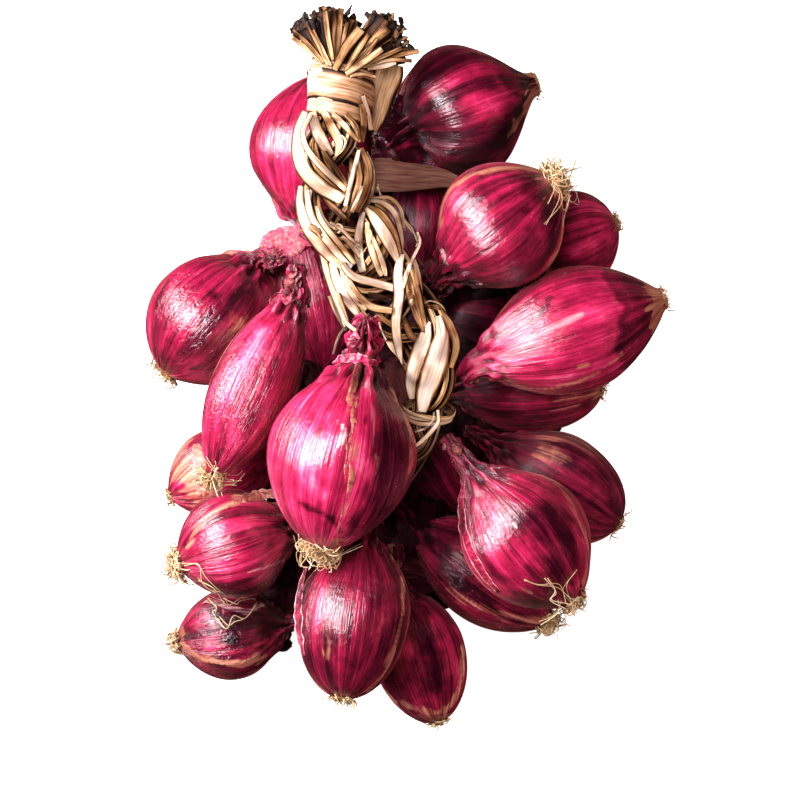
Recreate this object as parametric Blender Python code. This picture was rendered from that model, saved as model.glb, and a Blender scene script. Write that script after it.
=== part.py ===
"""A string of red onions: bulbs held together by a plait of their own dried leaves, lying on its back.

X runs across the string, Y along it towards the cut leaf ends, and Z up from the surface it lies on.
Every size and place below is in millimetres; the meshes are made in metres, and the whole is moved at the
end so that the middle of its outline is over the origin.
"""

import math
import random

import bmesh
import bpy
from mathutils import Vector

MM = 0.001

# How many points go round a bulb that shows, and round one that lies under the others.
SIDES = 16
SIDES_BELOW = 10

# Places along a bulb's body, from its root end (0) to its shoulder (1), and along its neck, that carry a
# ring of points.
BODY_STATIONS = (0.0, 0.03, 0.09, 0.18, 0.29, 0.41, 0.53, 0.65, 0.76, 0.86, 0.95)
NECK_STATIONS = (0.3, 0.65, 1.0)
NECK_TAPER = 0.14

# A bulb isn't quite round: how far two and three shallow lobes stand out, and the folds at its neck.
LOBE_2 = 0.022
LOBE_3 = 0.014
NECK_FOLDS = 4
FOLD_DEPTH = 0.13

# A bulb that lies on the surface is pressed this far into it, which gives it a small flat spot.
PRESS = 1.3
SEED = 20

# How a bulb's outline swells: where it is widest, how blunt its root end is, how drawn out its shoulder is,
# and how thick its neck is beside its half width. ROOT_SHARE is the same for its root end.
ROOT_SHARE = 0.17
FORMS = {
    "round": (0.86, 0.58, 0.86, 0.17),
    "full": (0.96, 0.60, 0.66, 0.18),
    "oval": (0.90, 0.62, 0.90, 0.17),
    "drop": (1.20, 0.80, 0.46, 0.27),
    "lemon": (0.96, 0.74, 0.58, 0.25),
    "long": (0.96, 0.70, 0.64, 0.24),
    "blunt": (0.92, 0.50, 0.80, 0.19),
}

# name: root end, shoulder, tip of the neck, half width, form, where it lies, how many rootlets show
BULBS = {
    "bulb_top_left": ((-34, 115, 27), (-38, 57, 25), (-33, 50, 39), 25.5, "full", "surface", 0),
    "bulb_top_right": ((51.5, 112, 23), (1, 92.5, 36.5), (-8, 84.5, 43.5), 27.0, "drop", "surface", 0),
    "bulb_right_upper": ((58, 72, 60), (16, 37, 53), (12, 33, 49.5), 25.0, "full", "above", 7),
    "bulb_right_behind": ((84, 57, 21), (48, 44, 21), (34, 40, 26), 18.6, "round", "surface", 0),
    "bulb_right_long": ((101, 26.5, 47), (30.5, 1.5, 52), (23.5, -4.5, 49), 24.0, "lemon", "above", 3),
    "bulb_right_under": ((78, -8.5, 18), (18, -11.5, 18), (8, -13.5, 24), 17.2, "blunt", "surface", 2),
    "bulb_right_lower": ((85, -63, 20), (35, -31, 21), (25, -26, 28), 20.9, "blunt", "surface", 0),
    "bulb_front_right": ((66, -91, 57), (25, -39, 59), (17, -28, 54.5), 24.6, "oval", "above", 6),
    "bulb_under_right": ((57, -101, 19), (5, -63, 19), (-2, -55, 27), 19.2, "full", "surface", 6),
    "bulb_bottom_right": ((13, -140.5, 18), (-2.5, -85, 18), (-3, -71, 26), 18.4, "blunt", "surface", 4),
    "bulb_bottom_front": ((-24, -129, 49), (-15.5, -64, 44), (-8, -49, 39), 22.2, "blunt", "above", 5),
    "bulb_front_middle": ((-32, -70, 66), (-16, 4, 71), (-15, 17, 79), 27.8, "oval", "above", 7),
    "bulb_left_long": ((-74, -42.5, 56.5), (-43, 27, 57.5), (-42.5, 38, 61), 16.7, "long", "above", 7),
    "bulb_left_upper": ((-95.5, -2.5, 25), (-58.5, 40.5, 25.5), (-51, 41.5, 42), 26.1, "full", "surface", 5),
    "bulb_left_inner": ((-42, 55, 26), (-32, -4, 24), (-29, -12, 28), 15.6, "full", "surface", 0),
    "bulb_left_lower": ((-88, -76.5, 44), (-41, -61, 42), (-23, -52, 40), 21.4, "oval", "above", 7),
    "bulb_left_under": ((-93, -51, 18), (-52, -31, 18), (-42, -26, 24), 18.0, "full", "surface", 0),
    "bulb_bottom_left": ((-90, -109, 18), (-47, -102, 18), (-41, -100, 21), 18.6, "full", "surface", 6),
    "bulb_inner_right": ((8, 76.5, 16), (7, 38, 17), (4, 30, 25), 17.0, "full", "below", 0),
    "bulb_centre_right": ((50, 17, 16), (14, 23, 16), (7, 24, 22), 14.2, "full", "below", 0),
    "bulb_under_plait": ((24, -57, 16), (5, -22, 16), (1, -14, 22), 14.5, "full", "below", 0),
    "bulb_back_middle": ((-27, -44, 18), (-6, 4, 18), (-2, 12, 24), 13.2, "oval", "below", 0),
    "bulb_back_lower": ((-40, -87, 15), (-25, -58, 15), (-18, -48, 22), 13.0, "oval", "below", 0),
}

# The root plate at a bulb's root end: its distance from the bulb, then how far out each ring of it stands
# and how wide that ring is beside the bulb's half width.
ROOT_GAP = 0.35
ROOT_PLATE = ((0.0, 0.150), (0.7, 0.165), (1.5, 0.135))
PLATE_HEIGHT = 1.8
PLATE_SIDES = 10
ROOTLET_RADIUS = 0.46
ROOTLET_LENGTH = (4.5, 8.0)
ROOTLET_STEPS = 3
ROOTLET_CURL = 0.55

# The plait's route: place, then how far the strands sway sideways and in depth, and their half thickness.
PLAIT_ROUTE = (
    (-24.5, 108, 60.2, 4.8, 4.8, 3.7),
    (-25.1, 101, 60.5, 4.8, 4.8, 3.7),
    (-25.6, 94, 60.9, 4.7, 4.5, 3.6),
    (-27.0, 83, 66, 8.6, 8.2, 4.0),
    (-26.2, 64, 68, 10.6, 9.2, 4.1),
    (-20.4, 52, 67, 11.6, 9.5, 4.25),
    (-15.6, 42, 66, 12.2, 9.7, 4.3),
    (-8.0, 29, 63, 11.6, 9.4, 4.3),
    (1.0, 18, 59, 10.0, 8.6, 3.9),
    (8.0, 7, 57, 8.0, 7.6, 3.5),
    (10.2, -5, 55, 6.4, 6.4, 3.0),
    (9.2, -17, 51, 4.1, 4.1, 2.1),
    (5.4, -30, 44, 4.1, 4.1, 2.0),
    (-2.4, -42, 38, 3.8, 3.8, 1.9),
)
STRANDS = ("plait_strand_a", "plait_strand_b", "plait_strand_c")

# A strand crosses from side to side in HALF_WAVE, after a straight stretch through the tie.
HALF_WAVE = 33.0
THIRD_WAVE = 0.09
STRAIGHT_TOP = 24.0
STRAND_STEP = 4.2
STRAND_SIDES = 10
STRAND_GROOVE = 0.84
STRAND_BULGE = 0.32
STRAND_TWIST = math.radians(7.0)

# The tie: both ends of its axis, then the outline of its three wraps as share of its height and radius.
TIE_FOOT = (-25.6, 95.2, 61.2)
TIE_HEAD = (-24.0, 115.6, 60.0)
TIE_WRAPS = (
    (0.00, 12.6),
    (0.04, 13.1),
    (0.36, 12.9),
    (0.38, 12.5),
    (0.70, 12.2),
    (0.72, 12.6),
    (0.97, 12.0),
    (1.00, 11.6),
)
TIE_BORE = 10.4
TIE_SIDES = 24

# The cut leaf ends above the tie: foot, where they leave the tie, and middle of the far end; half width and
# depth at the foot and at the far end; how far the middle of the far end rises; how many leaves fold in.
CUT_ENDS = {
    "cut_ends_left": (
        ((-28.6, 110.4, 60.5), (-28.6, 117.0, 60.8), (-30.2, 131.5, 63.0)),
        (3.6, 6.2),
        (15.0, 9.5),
        7.5,
        15,
    ),
    "cut_ends_right": (
        ((-19.3, 110.2, 60.0), (-18.6, 117.0, 59.6), (-4.4, 128.5, 57.5)),
        (3.4, 6.8),
        (11.5, 8.5),
        3.5,
        13,
    ),
}
CUT_STATIONS = (0.0, 0.2, 0.42, 0.64, 0.84, 1.0)
CUT_HOLLOW = 5.0

# A loose dry leaf beside the tie: its line, with its half width at each place, and its thickness.
LOOSE_LEAF = (
    (-12.5, 91.0, 52.5, 2.0),
    (-11.0, 98.0, 50.5, 4.6),
    (-9.2, 106.0, 50.0, 5.8),
    (-6.8, 113.0, 50.0, 6.4),
    (-5.4, 117.5, 50.5, 5.2),
)
LEAF_STEPS = 8
LEAF_THICKNESS = 0.8
LEAF_BOW = 1.4

# The loop of leaf round the plait's low end.
BINDING_AT = (9.3, -17.5, 50.8)
BINDING_AXIS = (0.12, 1.0, 0.42)
BINDING_RADIUS = 9.4
BINDING_HALF_WIDTH = 1.95
BINDING_HALF_THICKNESS = 0.78
BINDING_STEPS = 20
BINDING_SIDES = 6

SKIN = (0.36, 0.012, 0.075, 1.0)
ROOTS = (0.55, 0.40, 0.22, 1.0)
STRAW = (0.62, 0.45, 0.27, 1.0)
BAND = (0.80, 0.66, 0.50, 1.0)
CUT_LEAF = (0.24, 0.13, 0.07, 1.0)


def clear_scene():
    for thing in list(bpy.data.objects):
        bpy.data.objects.remove(thing)


def material(name, colour, roughness):
    made = bpy.data.materials.new(name)
    made.use_nodes = True
    shader = made.node_tree.nodes["Principled BSDF"]
    shader.inputs["Base Color"].default_value = colour
    shader.inputs["Roughness"].default_value = roughness
    shader.inputs["Metallic"].default_value = 0.0
    return made


def ease(x):
    x = min(1.0, max(0.0, x))
    return x * x * (3.0 - 2.0 * x)


class Route:
    """A smooth curve through points, read by the distance along it. Numbers after x, y, z ride along."""

    FINE = 16

    def __init__(self, points):
        ends = [tuple(2 * a - b for a, b in zip(points[0], points[1]))]
        ends += [tuple(p) for p in points]
        ends.append(tuple(2 * a - b for a, b in zip(points[-1], points[-2])))
        self.rows = []
        for before, start, stop, after in zip(ends, ends[1:], ends[2:], ends[3:]):
            for i in range(self.FINE):
                self.rows.append(self.between(before, start, stop, after, i / self.FINE))
        self.rows.append(ends[-2])
        self.reach = [0.0]
        for one, two in zip(self.rows, self.rows[1:]):
            self.reach.append(self.reach[-1] + (Vector(two[:3]) - Vector(one[:3])).length)
        self.length = self.reach[-1]

    @staticmethod
    def between(p0, p1, p2, p3, t):
        return tuple(
            b + 0.5 * t * (c - a + t * (2 * a - 5 * b + 4 * c - d + t * (3 * b - a - 3 * c + d)))
            for a, b, c, d in zip(p0, p1, p2, p3)
        )

    def at(self, distance):
        """Every number of the route at that distance."""
        distance = min(self.length, max(0.0, distance))
        low, high = 0, len(self.reach) - 1
        while high - low > 1:
            middle = (low + high) // 2
            if self.reach[middle] <= distance:
                low = middle
            else:
                high = middle
        part = (distance - self.reach[low]) / max(1e-9, self.reach[high] - self.reach[low])
        return tuple(a + (b - a) * part for a, b in zip(self.rows[low], self.rows[high]))

    def point(self, distance):
        return Vector(self.at(distance)[:3])

    def tangent(self, distance):
        return (self.point(distance + 0.5) - self.point(distance - 0.5)).normalized()


def across(tangent, towards):
    """The direction nearest to towards that is square to the tangent, and the one square to both."""
    first = (Vector(towards) - tangent * tangent.dot(Vector(towards))).normalized()
    return first, tangent.cross(first)


def circle(centre, one, two, radius, sides):
    turns = [math.tau * k / sides for k in range(sides)]
    return [centre + (one * math.cos(a) + two * math.sin(a)) * radius for a in turns]


def finish(name, shape, look):
    """Turns a bmesh into a named object with its faces out and its own look."""
    bmesh.ops.triangulate(shape, faces=shape.faces[:])
    bmesh.ops.recalc_face_normals(shape, faces=shape.faces[:])
    mesh = bpy.data.meshes.new(name)
    shape.to_mesh(mesh)
    shape.free()
    mesh.shade_smooth()
    thing = bpy.data.objects.new(name, mesh)
    thing.data.materials.append(look)
    bpy.context.scene.collection.objects.link(thing)
    return thing


def loft(name, rings, first_pole, last_pole, look):
    """A closed skin over rings of points, shut by a fan to a pole at each end. Points are in millimetres."""
    shape = bmesh.new()
    levels = [[shape.verts.new(p * MM) for p in ring] for ring in rings]
    count = len(levels[0])
    for low, high in zip(levels, levels[1:]):
        for i in range(count):
            j = (i + 1) % count
            shape.faces.new((low[i], low[j], high[j], high[i]))
    for pole, level, turn in ((first_pole, levels[0], -1), (last_pole, levels[-1], 1)):
        tip = shape.verts.new(pole * MM)
        for i in range(count):
            corners = (tip, level[i], level[(i + 1) % count])
            shape.faces.new(corners[::turn])
    return finish(name, shape, look)


def hoop(name, rings, look):
    """A closed skin over rings of points that follow each other round a hole. Points are in millimetres."""
    shape = bmesh.new()
    levels = [[shape.verts.new(p * MM) for p in ring] for ring in rings]
    count = len(levels[0])
    for low, high in zip(levels, levels[1:] + levels[:1]):
        for i in range(count):
            j = (i + 1) % count
            shape.faces.new((low[i], low[j], high[j], high[i]))
    return finish(name, shape, look)


def join_all(base, extras):
    """Joins the extras into the base with one Boolean union, and removes them."""
    group = bpy.data.collections.new(base.name + "_joined")
    bpy.context.scene.collection.children.link(group)
    for extra in extras:
        bpy.context.scene.collection.objects.unlink(extra)
        group.objects.link(extra)
    union = base.modifiers.new("join", "BOOLEAN")
    union.operation = "UNION"
    union.operand_type = "COLLECTION"
    union.collection = group
    union.solver = "EXACT"
    graph = bpy.context.evaluated_depsgraph_get()
    joined = bpy.data.meshes.new_from_object(base.evaluated_get(graph))
    base.modifiers.clear()
    base.data = joined
    for extra in extras:
        bpy.data.objects.remove(extra)
    bpy.data.collections.remove(group)


def body_radius(u, half_width, form):
    """The bulb's radius at a share u of its body, from the root end to the shoulder."""
    peak, blunt, drawn, neck_share = FORMS[form]
    power = blunt + (drawn - blunt) * ease((u - 0.25) / 0.6)
    swell = math.sin(math.pi * min(0.999, max(0.001, u)) ** peak) ** power
    floor = ROOT_SHARE + (neck_share - ROOT_SHARE) * u
    return half_width * (swell ** 3 + floor ** 3) ** (1 / 3)


def bulb_rings(root, shoulder, tip, half_width, form, sides, chance):
    """Rings of points round a bulb's axis, which runs straight up its body and bends in its neck."""
    root, shoulder, tip = Vector(root), Vector(shoulder), Vector(tip)
    axis = Route([root, root.lerp(shoulder, 0.33), root.lerp(shoulder, 0.66), shoulder, tip])
    body = (shoulder - root).length
    neck = axis.length - body
    turn_2, turn_3, turn_fold = (chance.uniform(0, math.tau) for _ in range(3))
    places = [(u * body, u) for u in BODY_STATIONS] + [(body + v * neck, 1 + v) for v in NECK_STATIONS]
    rings = []
    for distance, u in places:
        centre, tangent = axis.point(distance), axis.tangent(distance)
        down, side = across(tangent, (0, 0, -1))
        radius = body_radius(min(u, 1.0), half_width, form) * (1 - NECK_TAPER * max(0.0, u - 1))
        window = math.sin(math.pi * u) if u < 1 else 0.0
        fold = FOLD_DEPTH * ease((u - 0.72) / 0.3)
        ring = []
        for i in range(sides):
            turn = math.tau * (i + 0.5) / sides
            wave = 1 + window * (LOBE_2 * math.cos(2 * turn + turn_2) + LOBE_3 * math.cos(3 * turn + turn_3))
            wave += fold * math.cos(NECK_FOLDS * turn + turn_fold)
            ring.append(centre + (down * math.cos(turn) + side * math.sin(turn)) * radius * wave)
        rings.append(ring)
    return rings, root, axis.point(axis.length) + axis.tangent(axis.length)


def lower_to_rest(rings, poles):
    """Lowers a bulb until it presses into the surface at z = 0, and flattens what would be below it."""
    lowest = min(p.z for ring in rings for p in ring)
    drop = Vector((0, 0, -PRESS - lowest))
    for ring in rings:
        for p in ring:
            p += drop
            p.z = max(p.z, 0.0)
    for pole in poles:
        pole += drop


def bulb(name, row, look, chance):
    """One onion. Gives back where its root end is, which way that faces, its half width and its rootlets."""
    root, shoulder, tip, half_width, form, lies, rootlets = row
    sides = SIDES_BELOW if lies == "below" else SIDES
    rings, first, last = bulb_rings(root, shoulder, tip, half_width, form, sides, chance)
    if lies != "above":
        lower_to_rest(rings, (first, last))
    loft(name, rings, first, last, look)
    return first, (Vector(root) - Vector(shoulder)).normalized(), half_width, rootlets


def rootlet(name, start, heading, bend, length, look):
    """One dried root: a thin three-sided thread that curls as it goes."""
    rings, place = [], start.copy()
    for i in range(ROOTLET_STEPS + 1):
        one, two = across(heading, bend)
        thin = ROOTLET_RADIUS * (1.0 - 0.12 * i / ROOTLET_STEPS)
        rings.append(circle(place, one, two, thin, 3))
        last = place.copy()
        place += heading * length / ROOTLET_STEPS
        heading = (heading + bend * ROOTLET_CURL).normalized()
    first = start - (rings[1][0] - rings[0][0]).normalized() * 0.1
    return loft(name, rings, first, last + heading * 0.25, look)


def root_tuft(name, place, outward, half_width, rootlets, look, chance):
    """The dried root plate at a bulb's root end, with its rootlets joined on."""
    one, two = across(outward, (0, 0, 1))
    foot = place + outward * ROOT_GAP
    rings = [
        circle(foot + outward * lift, one, two, share * half_width, PLATE_SIDES) for lift, share in ROOT_PLATE
    ]
    plate = loft(name, rings, foot, foot + outward * PLATE_HEIGHT, look)
    threads = []
    for k in range(rootlets):
        turn = math.tau * (k + chance.uniform(-0.25, 0.25)) / rootlets
        ray = one * math.cos(turn) + two * math.sin(turn)
        start = foot + outward * PLATE_HEIGHT / 2 + ray * half_width * ROOT_PLATE[0][1] / 2
        heading = (outward * chance.uniform(0.5, 1.0) + ray).normalized()
        bend = (one * chance.uniform(-1, 1) + two * chance.uniform(-1, 1) + outward * 0.35).normalized()
        threads.append(rootlet(f"{name}_{k}", start, heading, bend, chance.uniform(*ROOTLET_LENGTH), look))
    if threads:
        join_all(plate, threads)


def plait_offset(route, distance, turn):
    """Where a strand runs at a distance down the plait, and its half thickness there."""
    x, y, z, sway, depth, thickness = route.at(distance)
    tangent = route.tangent(distance)
    out, side = across(tangent, (0, 0, 1))
    phase = math.pi / 2 + turn + math.pi * max(0.0, distance - STRAIGHT_TOP) / HALF_WAVE
    sideways = side * sway * (math.sin(phase) + THIRD_WAVE * math.sin(3 * phase))
    offset = sideways - out * depth * math.sin(2 * phase)
    return Vector((x, y, z)) + offset, offset.normalized(), thickness


def strand(name, turn, look):
    """One strand of the plait: a bundle of dried leaves, with a groove between neighbours."""
    route = Route(PLAIT_ROUTE)
    steps = round(route.length / STRAND_STEP)
    line = [plait_offset(route, route.length * i / steps, turn) for i in range(steps + 1)]
    rings = []
    for i, (centre, outward, thickness) in enumerate(line):
        before, after = line[max(0, i - 1)][0], line[min(steps, i + 1)][0]
        out, side = across((after - before).normalized(), (0, 0, 1))
        ring = []
        for k in range(STRAND_SIDES):
            angle = math.tau * k / STRAND_SIDES
            grooved = 1.0 if k % 2 else STRAND_GROOVE
            angle += STRAND_TWIST * i
            ray = out * math.cos(angle) + side * math.sin(angle)
            ring.append(centre + ray * thickness * (grooved + STRAND_BULGE * max(0.0, ray.dot(outward))))
        rings.append(ring)
    first = line[0][0] - (line[1][0] - line[0][0]).normalized()
    last = line[-1][0] + (line[-1][0] - line[-2][0]).normalized()
    loft(name, rings, first, last, look)


def tie(look):
    """The band of dried leaf that is wrapped round the strands, hollow where they pass through."""
    foot, head = Vector(TIE_FOOT), Vector(TIE_HEAD)
    out, side = across((head - foot).normalized(), (0, 0, 1))
    profile = TIE_WRAPS + ((1.0, TIE_BORE), (0.0, TIE_BORE))
    rings = [circle(foot.lerp(head, share), out, side, radius, TIE_SIDES) for share, radius in profile]
    hoop("tie_band", rings, look)


def cut_ends(name, row, look):
    """Leaves that fan out above the tie, folded side by side, with a hollow in the middle of their cut."""
    path, (foot_width, foot_depth), (end_width, end_depth), rise, leaves = row
    route = Route(path)
    rings = []
    for share in CUT_STATIONS:
        centre, tangent = route.point(share * route.length), route.tangent(share * route.length)
        out, side = across(tangent, (0, 0, 1))
        spread = share ** 1.8
        width = foot_width + (end_width - foot_width) * spread
        depth = foot_depth + (end_depth - foot_depth) * spread
        pleat = 0.10 + 0.16 * share
        ring = []
        for k in range(2 * leaves):
            angle = math.pi * k / leaves
            reach = 1.0 - pleat * (k % 2)
            lift = rise * (math.cos(angle) ** 2 + 0.2 * math.sin(3 * angle + 0.7)) * spread
            edge = (out * depth * math.cos(angle) + side * width * math.sin(angle)) * reach
            ring.append(centre + tangent * lift + edge)
        rings.append(ring)
    loft(name, rings, Vector(path[0]), route.point(route.length - CUT_HOLLOW), look)


def loose_leaf(name, line, look):
    """A flat dry leaf, a little bowed across its width."""
    route = Route(line)
    half = LEAF_THICKNESS / 2
    section = ((-1, -half), (0, LEAF_BOW - half), (1, -half), (1, half), (0, LEAF_BOW + half), (-1, half))
    rings = []
    for i in range(LEAF_STEPS + 1):
        distance = route.length * i / LEAF_STEPS
        x, y, z, width = route.at(distance)
        out, side = across(route.tangent(distance), (0.25, 0, 1))
        rings.append([Vector((x, y, z)) + side * width * a + out * b for a, b in section])
    ends = [sum(ring, Vector()) / len(section) for ring in (rings[0], rings[-1])]
    loft(name, rings, ends[0], ends[1], look)


def binding(look):
    """The loop of leaf round the low end of the plait."""
    centre, axis = Vector(BINDING_AT), Vector(BINDING_AXIS).normalized()
    out, side = across(axis, (0, 0, 1))
    rings = []
    for k in range(BINDING_STEPS):
        angle = math.tau * k / BINDING_STEPS
        ray = out * math.cos(angle) + side * math.sin(angle)
        middle = centre + ray * BINDING_RADIUS
        thick, wide = ray * BINDING_HALF_THICKNESS, axis * BINDING_HALF_WIDTH
        rings.append(circle(middle, thick, wide, 1.0, BINDING_SIDES))
    hoop("plait_binding", rings, look)


def stand_on_origin():
    """Moves the string so that the middle of its outline is over the origin."""
    things = [thing for thing in bpy.data.objects if thing.type == "MESH"]
    spots = [v.co for thing in things for v in thing.data.vertices]
    xs, ys = [p.x for p in spots], [p.y for p in spots]
    middle = Vector(((min(xs) + max(xs)) / 2, (min(ys) + max(ys)) / 2, 0))
    for thing in things:
        for v in thing.data.vertices:
            v.co -= middle


def main():
    clear_scene()
    skin = material("onion_skin", SKIN, 0.32)
    fibre = material("root_fibre", ROOTS, 0.8)
    straw = material("dried_leaf", STRAW, 0.75)
    band = material("tie_leaf", BAND, 0.7)
    cut = material("cut_leaf", CUT_LEAF, 0.8)
    chance = random.Random(SEED)
    for name, row in BULBS.items():
        place, outward, half_width, rootlets = bulb(name, row, skin, chance)
        root_tuft(name.replace("bulb", "roots"), place, outward, half_width, rootlets, fibre, chance)
    for i, name in enumerate(STRANDS):
        strand(name, math.tau * i / len(STRANDS), straw)
    tie(band)
    for name, row in CUT_ENDS.items():
        cut_ends(name, row, cut)
    loose_leaf("loose_leaf", LOOSE_LEAF, straw)
    binding(band)
    stand_on_origin()


main()
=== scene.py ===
"""The looks of a plaited string of red onions: papery skins, dried roots, plaited straw and cut leaf ends.

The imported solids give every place. Lengths are in millimetres until a piece is made, and MM turns them into
metres. An onion's skin is read by two numbers: a turn round it, which is 0 on the side that faces up, and a
share of the way from its root end to the tip of its neck.
"""

import math
import random

import bpy
import numpy as np
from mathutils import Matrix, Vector
from mathutils.bvhtree import BVHTree


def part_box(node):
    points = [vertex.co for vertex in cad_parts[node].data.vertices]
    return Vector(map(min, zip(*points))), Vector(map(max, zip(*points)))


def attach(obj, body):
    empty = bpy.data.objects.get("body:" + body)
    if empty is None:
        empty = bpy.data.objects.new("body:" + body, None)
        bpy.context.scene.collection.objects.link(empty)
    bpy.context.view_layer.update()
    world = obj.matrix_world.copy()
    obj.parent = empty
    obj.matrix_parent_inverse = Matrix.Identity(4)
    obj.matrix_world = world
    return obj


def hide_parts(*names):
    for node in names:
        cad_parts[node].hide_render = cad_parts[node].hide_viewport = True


MM = 0.001
TAU = math.tau

# The camera looks straight down on the string. SPAN is what it sees at the height PLANE, in a picture of
# PICTURE pixels a side.
CAMERA_OVER = (-3.5, -9.2)
CAMERA_HEIGHT = 1560.0
PLANE = 60.0
SPAN = 308.0
PICTURE = 800
PIXEL = SPAN / PICTURE
EYE = np.array((*CAMERA_OVER, CAMERA_HEIGHT))
UP = np.array((0, 0, 1.0))

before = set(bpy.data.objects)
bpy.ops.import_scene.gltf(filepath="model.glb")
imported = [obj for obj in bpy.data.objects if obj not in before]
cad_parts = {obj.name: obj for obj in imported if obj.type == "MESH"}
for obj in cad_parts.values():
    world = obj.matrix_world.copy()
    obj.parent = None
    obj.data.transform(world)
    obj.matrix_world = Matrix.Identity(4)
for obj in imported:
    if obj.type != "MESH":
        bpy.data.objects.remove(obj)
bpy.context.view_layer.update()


def ease(x, low=0.0, high=1.0):
    """Goes smoothly from 0 at low to 1 at high."""
    x = np.clip((np.asarray(x, float) - low) / (high - low), 0.0, 1.0)
    return x * x * (3.0 - 2.0 * x)


def unit(v):
    v = np.asarray(v, float)
    return v / np.maximum(1e-12, np.linalg.norm(v, axis=-1, keepdims=True))


def pixel_to_plane(px, py, height):
    """The place in millimetres, at a height, that the camera sees at a pixel of its picture."""
    px, py, height = np.broadcast_arrays(*(np.asarray(value, float) for value in (px, py, height)))
    scale = PIXEL * (CAMERA_HEIGHT - height) / (CAMERA_HEIGHT - PLANE)
    return np.stack([
        CAMERA_OVER[0] + (px - PICTURE / 2) * scale,
        CAMERA_OVER[1] + (PICTURE / 2 - py) * scale,
        height,
    ], -1)


def to_pixels(points):
    """Where the camera sees points, in pixels of its picture."""
    scale = PIXEL * (CAMERA_HEIGHT - points[..., 2]) / (CAMERA_HEIGHT - PLANE)
    return np.stack([
        (points[..., 0] - CAMERA_OVER[0]) / scale + PICTURE / 2,
        PICTURE / 2 - (points[..., 1] - CAMERA_OVER[1]) / scale,
    ], -1)


def lengths_along(line):
    """How far along a line each of its points lies."""
    return np.concatenate([[0], np.cumsum(np.linalg.norm(np.diff(line, axis=0), axis=1))])


def round_turns(count):
    """Turns spread evenly round a circle."""
    return np.arange(count) * TAU / count


def upright(axis):
    """Directions across an axis: the one nearest to straight up, and the one beside it."""
    out = unit(UP - axis * axis[..., 2:])
    return out, np.cross(axis, out)


def spokes(out, side, turns):
    """Directions at turns round a line, where out and side lie across it."""
    return out[..., None, :] * np.cos(turns)[..., None] + side[..., None, :] * np.sin(turns)[..., None]


class Waves:
    """A smooth random height over (turn, along), made of a few seeded waves and whole round the turn."""

    def __init__(self, chance, rounds, runs, count):
        self.rounds = chance.randint(rounds[0], rounds[1] + 1, count)
        self.runs = chance.uniform(runs[0], runs[1], count) * chance.choice((-1, 1), count)
        self.starts = chance.uniform(0, TAU, count)
        self.sizes = chance.uniform(0.5, 1.0, count)
        self.sizes /= math.sqrt((self.sizes ** 2).sum() / 2)

    def __call__(self, turn, along):
        turn, along = np.broadcast_arrays(np.asarray(turn, float), np.asarray(along, float))
        total = np.zeros(turn.shape)
        for rounds, run, start, size in zip(self.rounds, self.runs, self.starts, self.sizes):
            total += size * np.cos(rounds * turn + TAU * run * along + start)
        return total


# Steps between two points of a curve, before its own steps are set.
FINE_STEPS = 16


def curve(points, steps):
    """A smooth line through points, with steps even in length. Columns past the third ride along."""
    points = np.asarray(points, float)
    ends = np.vstack([2 * points[0] - points[1], points, 2 * points[-1] - points[-2]])
    t = np.arange(FINE_STEPS)[:, None] / FINE_STEPS
    rows = []
    for a, b, c, d in zip(ends, ends[1:], ends[2:], ends[3:]):
        bend = 2 * a - 5 * b + 4 * c - d + t * (3 * b - a - 3 * c + d)
        rows.append(b + 0.5 * t * (c - a + t * bend))
    rows = np.vstack(rows + [points[-1:]])
    reach = lengths_along(rows[:, :3])
    want = np.linspace(0, reach[-1], steps)
    return np.stack([np.interp(want, reach, column) for column in rows.T], 1)


def frames(line, up):
    """Tangent, outward and sideways directions at each point of a line, outward being nearest to up."""
    tangent = unit(np.gradient(line, axis=0))
    up = np.broadcast_to(np.asarray(up, float), line.shape)
    out = unit(up - tangent * (tangent * up).sum(1, keepdims=True))
    return tangent, out, np.cross(tangent, out)


def placed(name, data):
    """A new thing in the scene."""
    thing = bpy.data.objects.new(name, data)
    bpy.context.scene.collection.objects.link(thing)
    return thing


class Heap:
    """Collects points in millimetres, faces and fields of many small forms into one piece."""

    def __init__(self):
        self.points, self.faces, self.fields, self.count = [], [], {}, 0

    def add(self, points, faces, **fields):
        """Adds a form. Each field has a value for the whole form, or one for each point."""
        points = np.asarray(points, float).reshape(-1, 3)
        self.points.append(points)
        self.faces += [tuple(int(i) + self.count for i in face) for face in faces]
        for name, value in fields.items():
            value = np.asarray(value, float)
            if value.ndim == 0:
                value = np.full(len(points), float(value))
            self.fields.setdefault(name, []).append(value.reshape(len(points), -1))
        self.count += len(points)

    def piece(self, name, look, slot, nodes=()):
        """Makes the piece, which takes the place of the solids named in nodes."""
        mesh = bpy.data.meshes.new(name)
        mesh.from_pydata((np.vstack(self.points) * MM).tolist(), [], self.faces)
        for field, parts in self.fields.items():
            values = np.vstack(parts)
            kind = "FLOAT_VECTOR" if values.shape[1] == 3 else "FLOAT"
            layer = mesh.attributes.new(field, kind, "POINT")
            layer.data.foreach_set("vector" if kind == "FLOAT_VECTOR" else "value", values.ravel())
        mesh.shade_smooth()
        mesh.materials.append(look)
        thing = placed(name, mesh)
        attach(thing, "root")
        if nodes:
            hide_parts(*nodes)


def grid_faces(rows, columns, closed):
    """Faces over a grid of points. A closed grid joins its last column to its first."""
    across = columns if closed else columns - 1
    a = (np.arange(rows - 1)[:, None] * columns + np.arange(across)[None, :]).ravel()
    b = (np.arange(rows - 1)[:, None] * columns + (np.arange(across)[None, :] + 1) % columns).ravel()
    return np.stack([a, b, b + columns, a + columns], 1).tolist()


def add_tube(heap, rings, **fields):
    """Adds a closed tube over rings of points, shut at both ends."""
    rows, columns = rings.shape[:2]
    faces = grid_faces(rows, columns, True)
    faces.append(list(range(columns))[::-1])
    faces.append([(rows - 1) * columns + i for i in range(columns)])
    heap.add(rings, faces, **fields)


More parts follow.
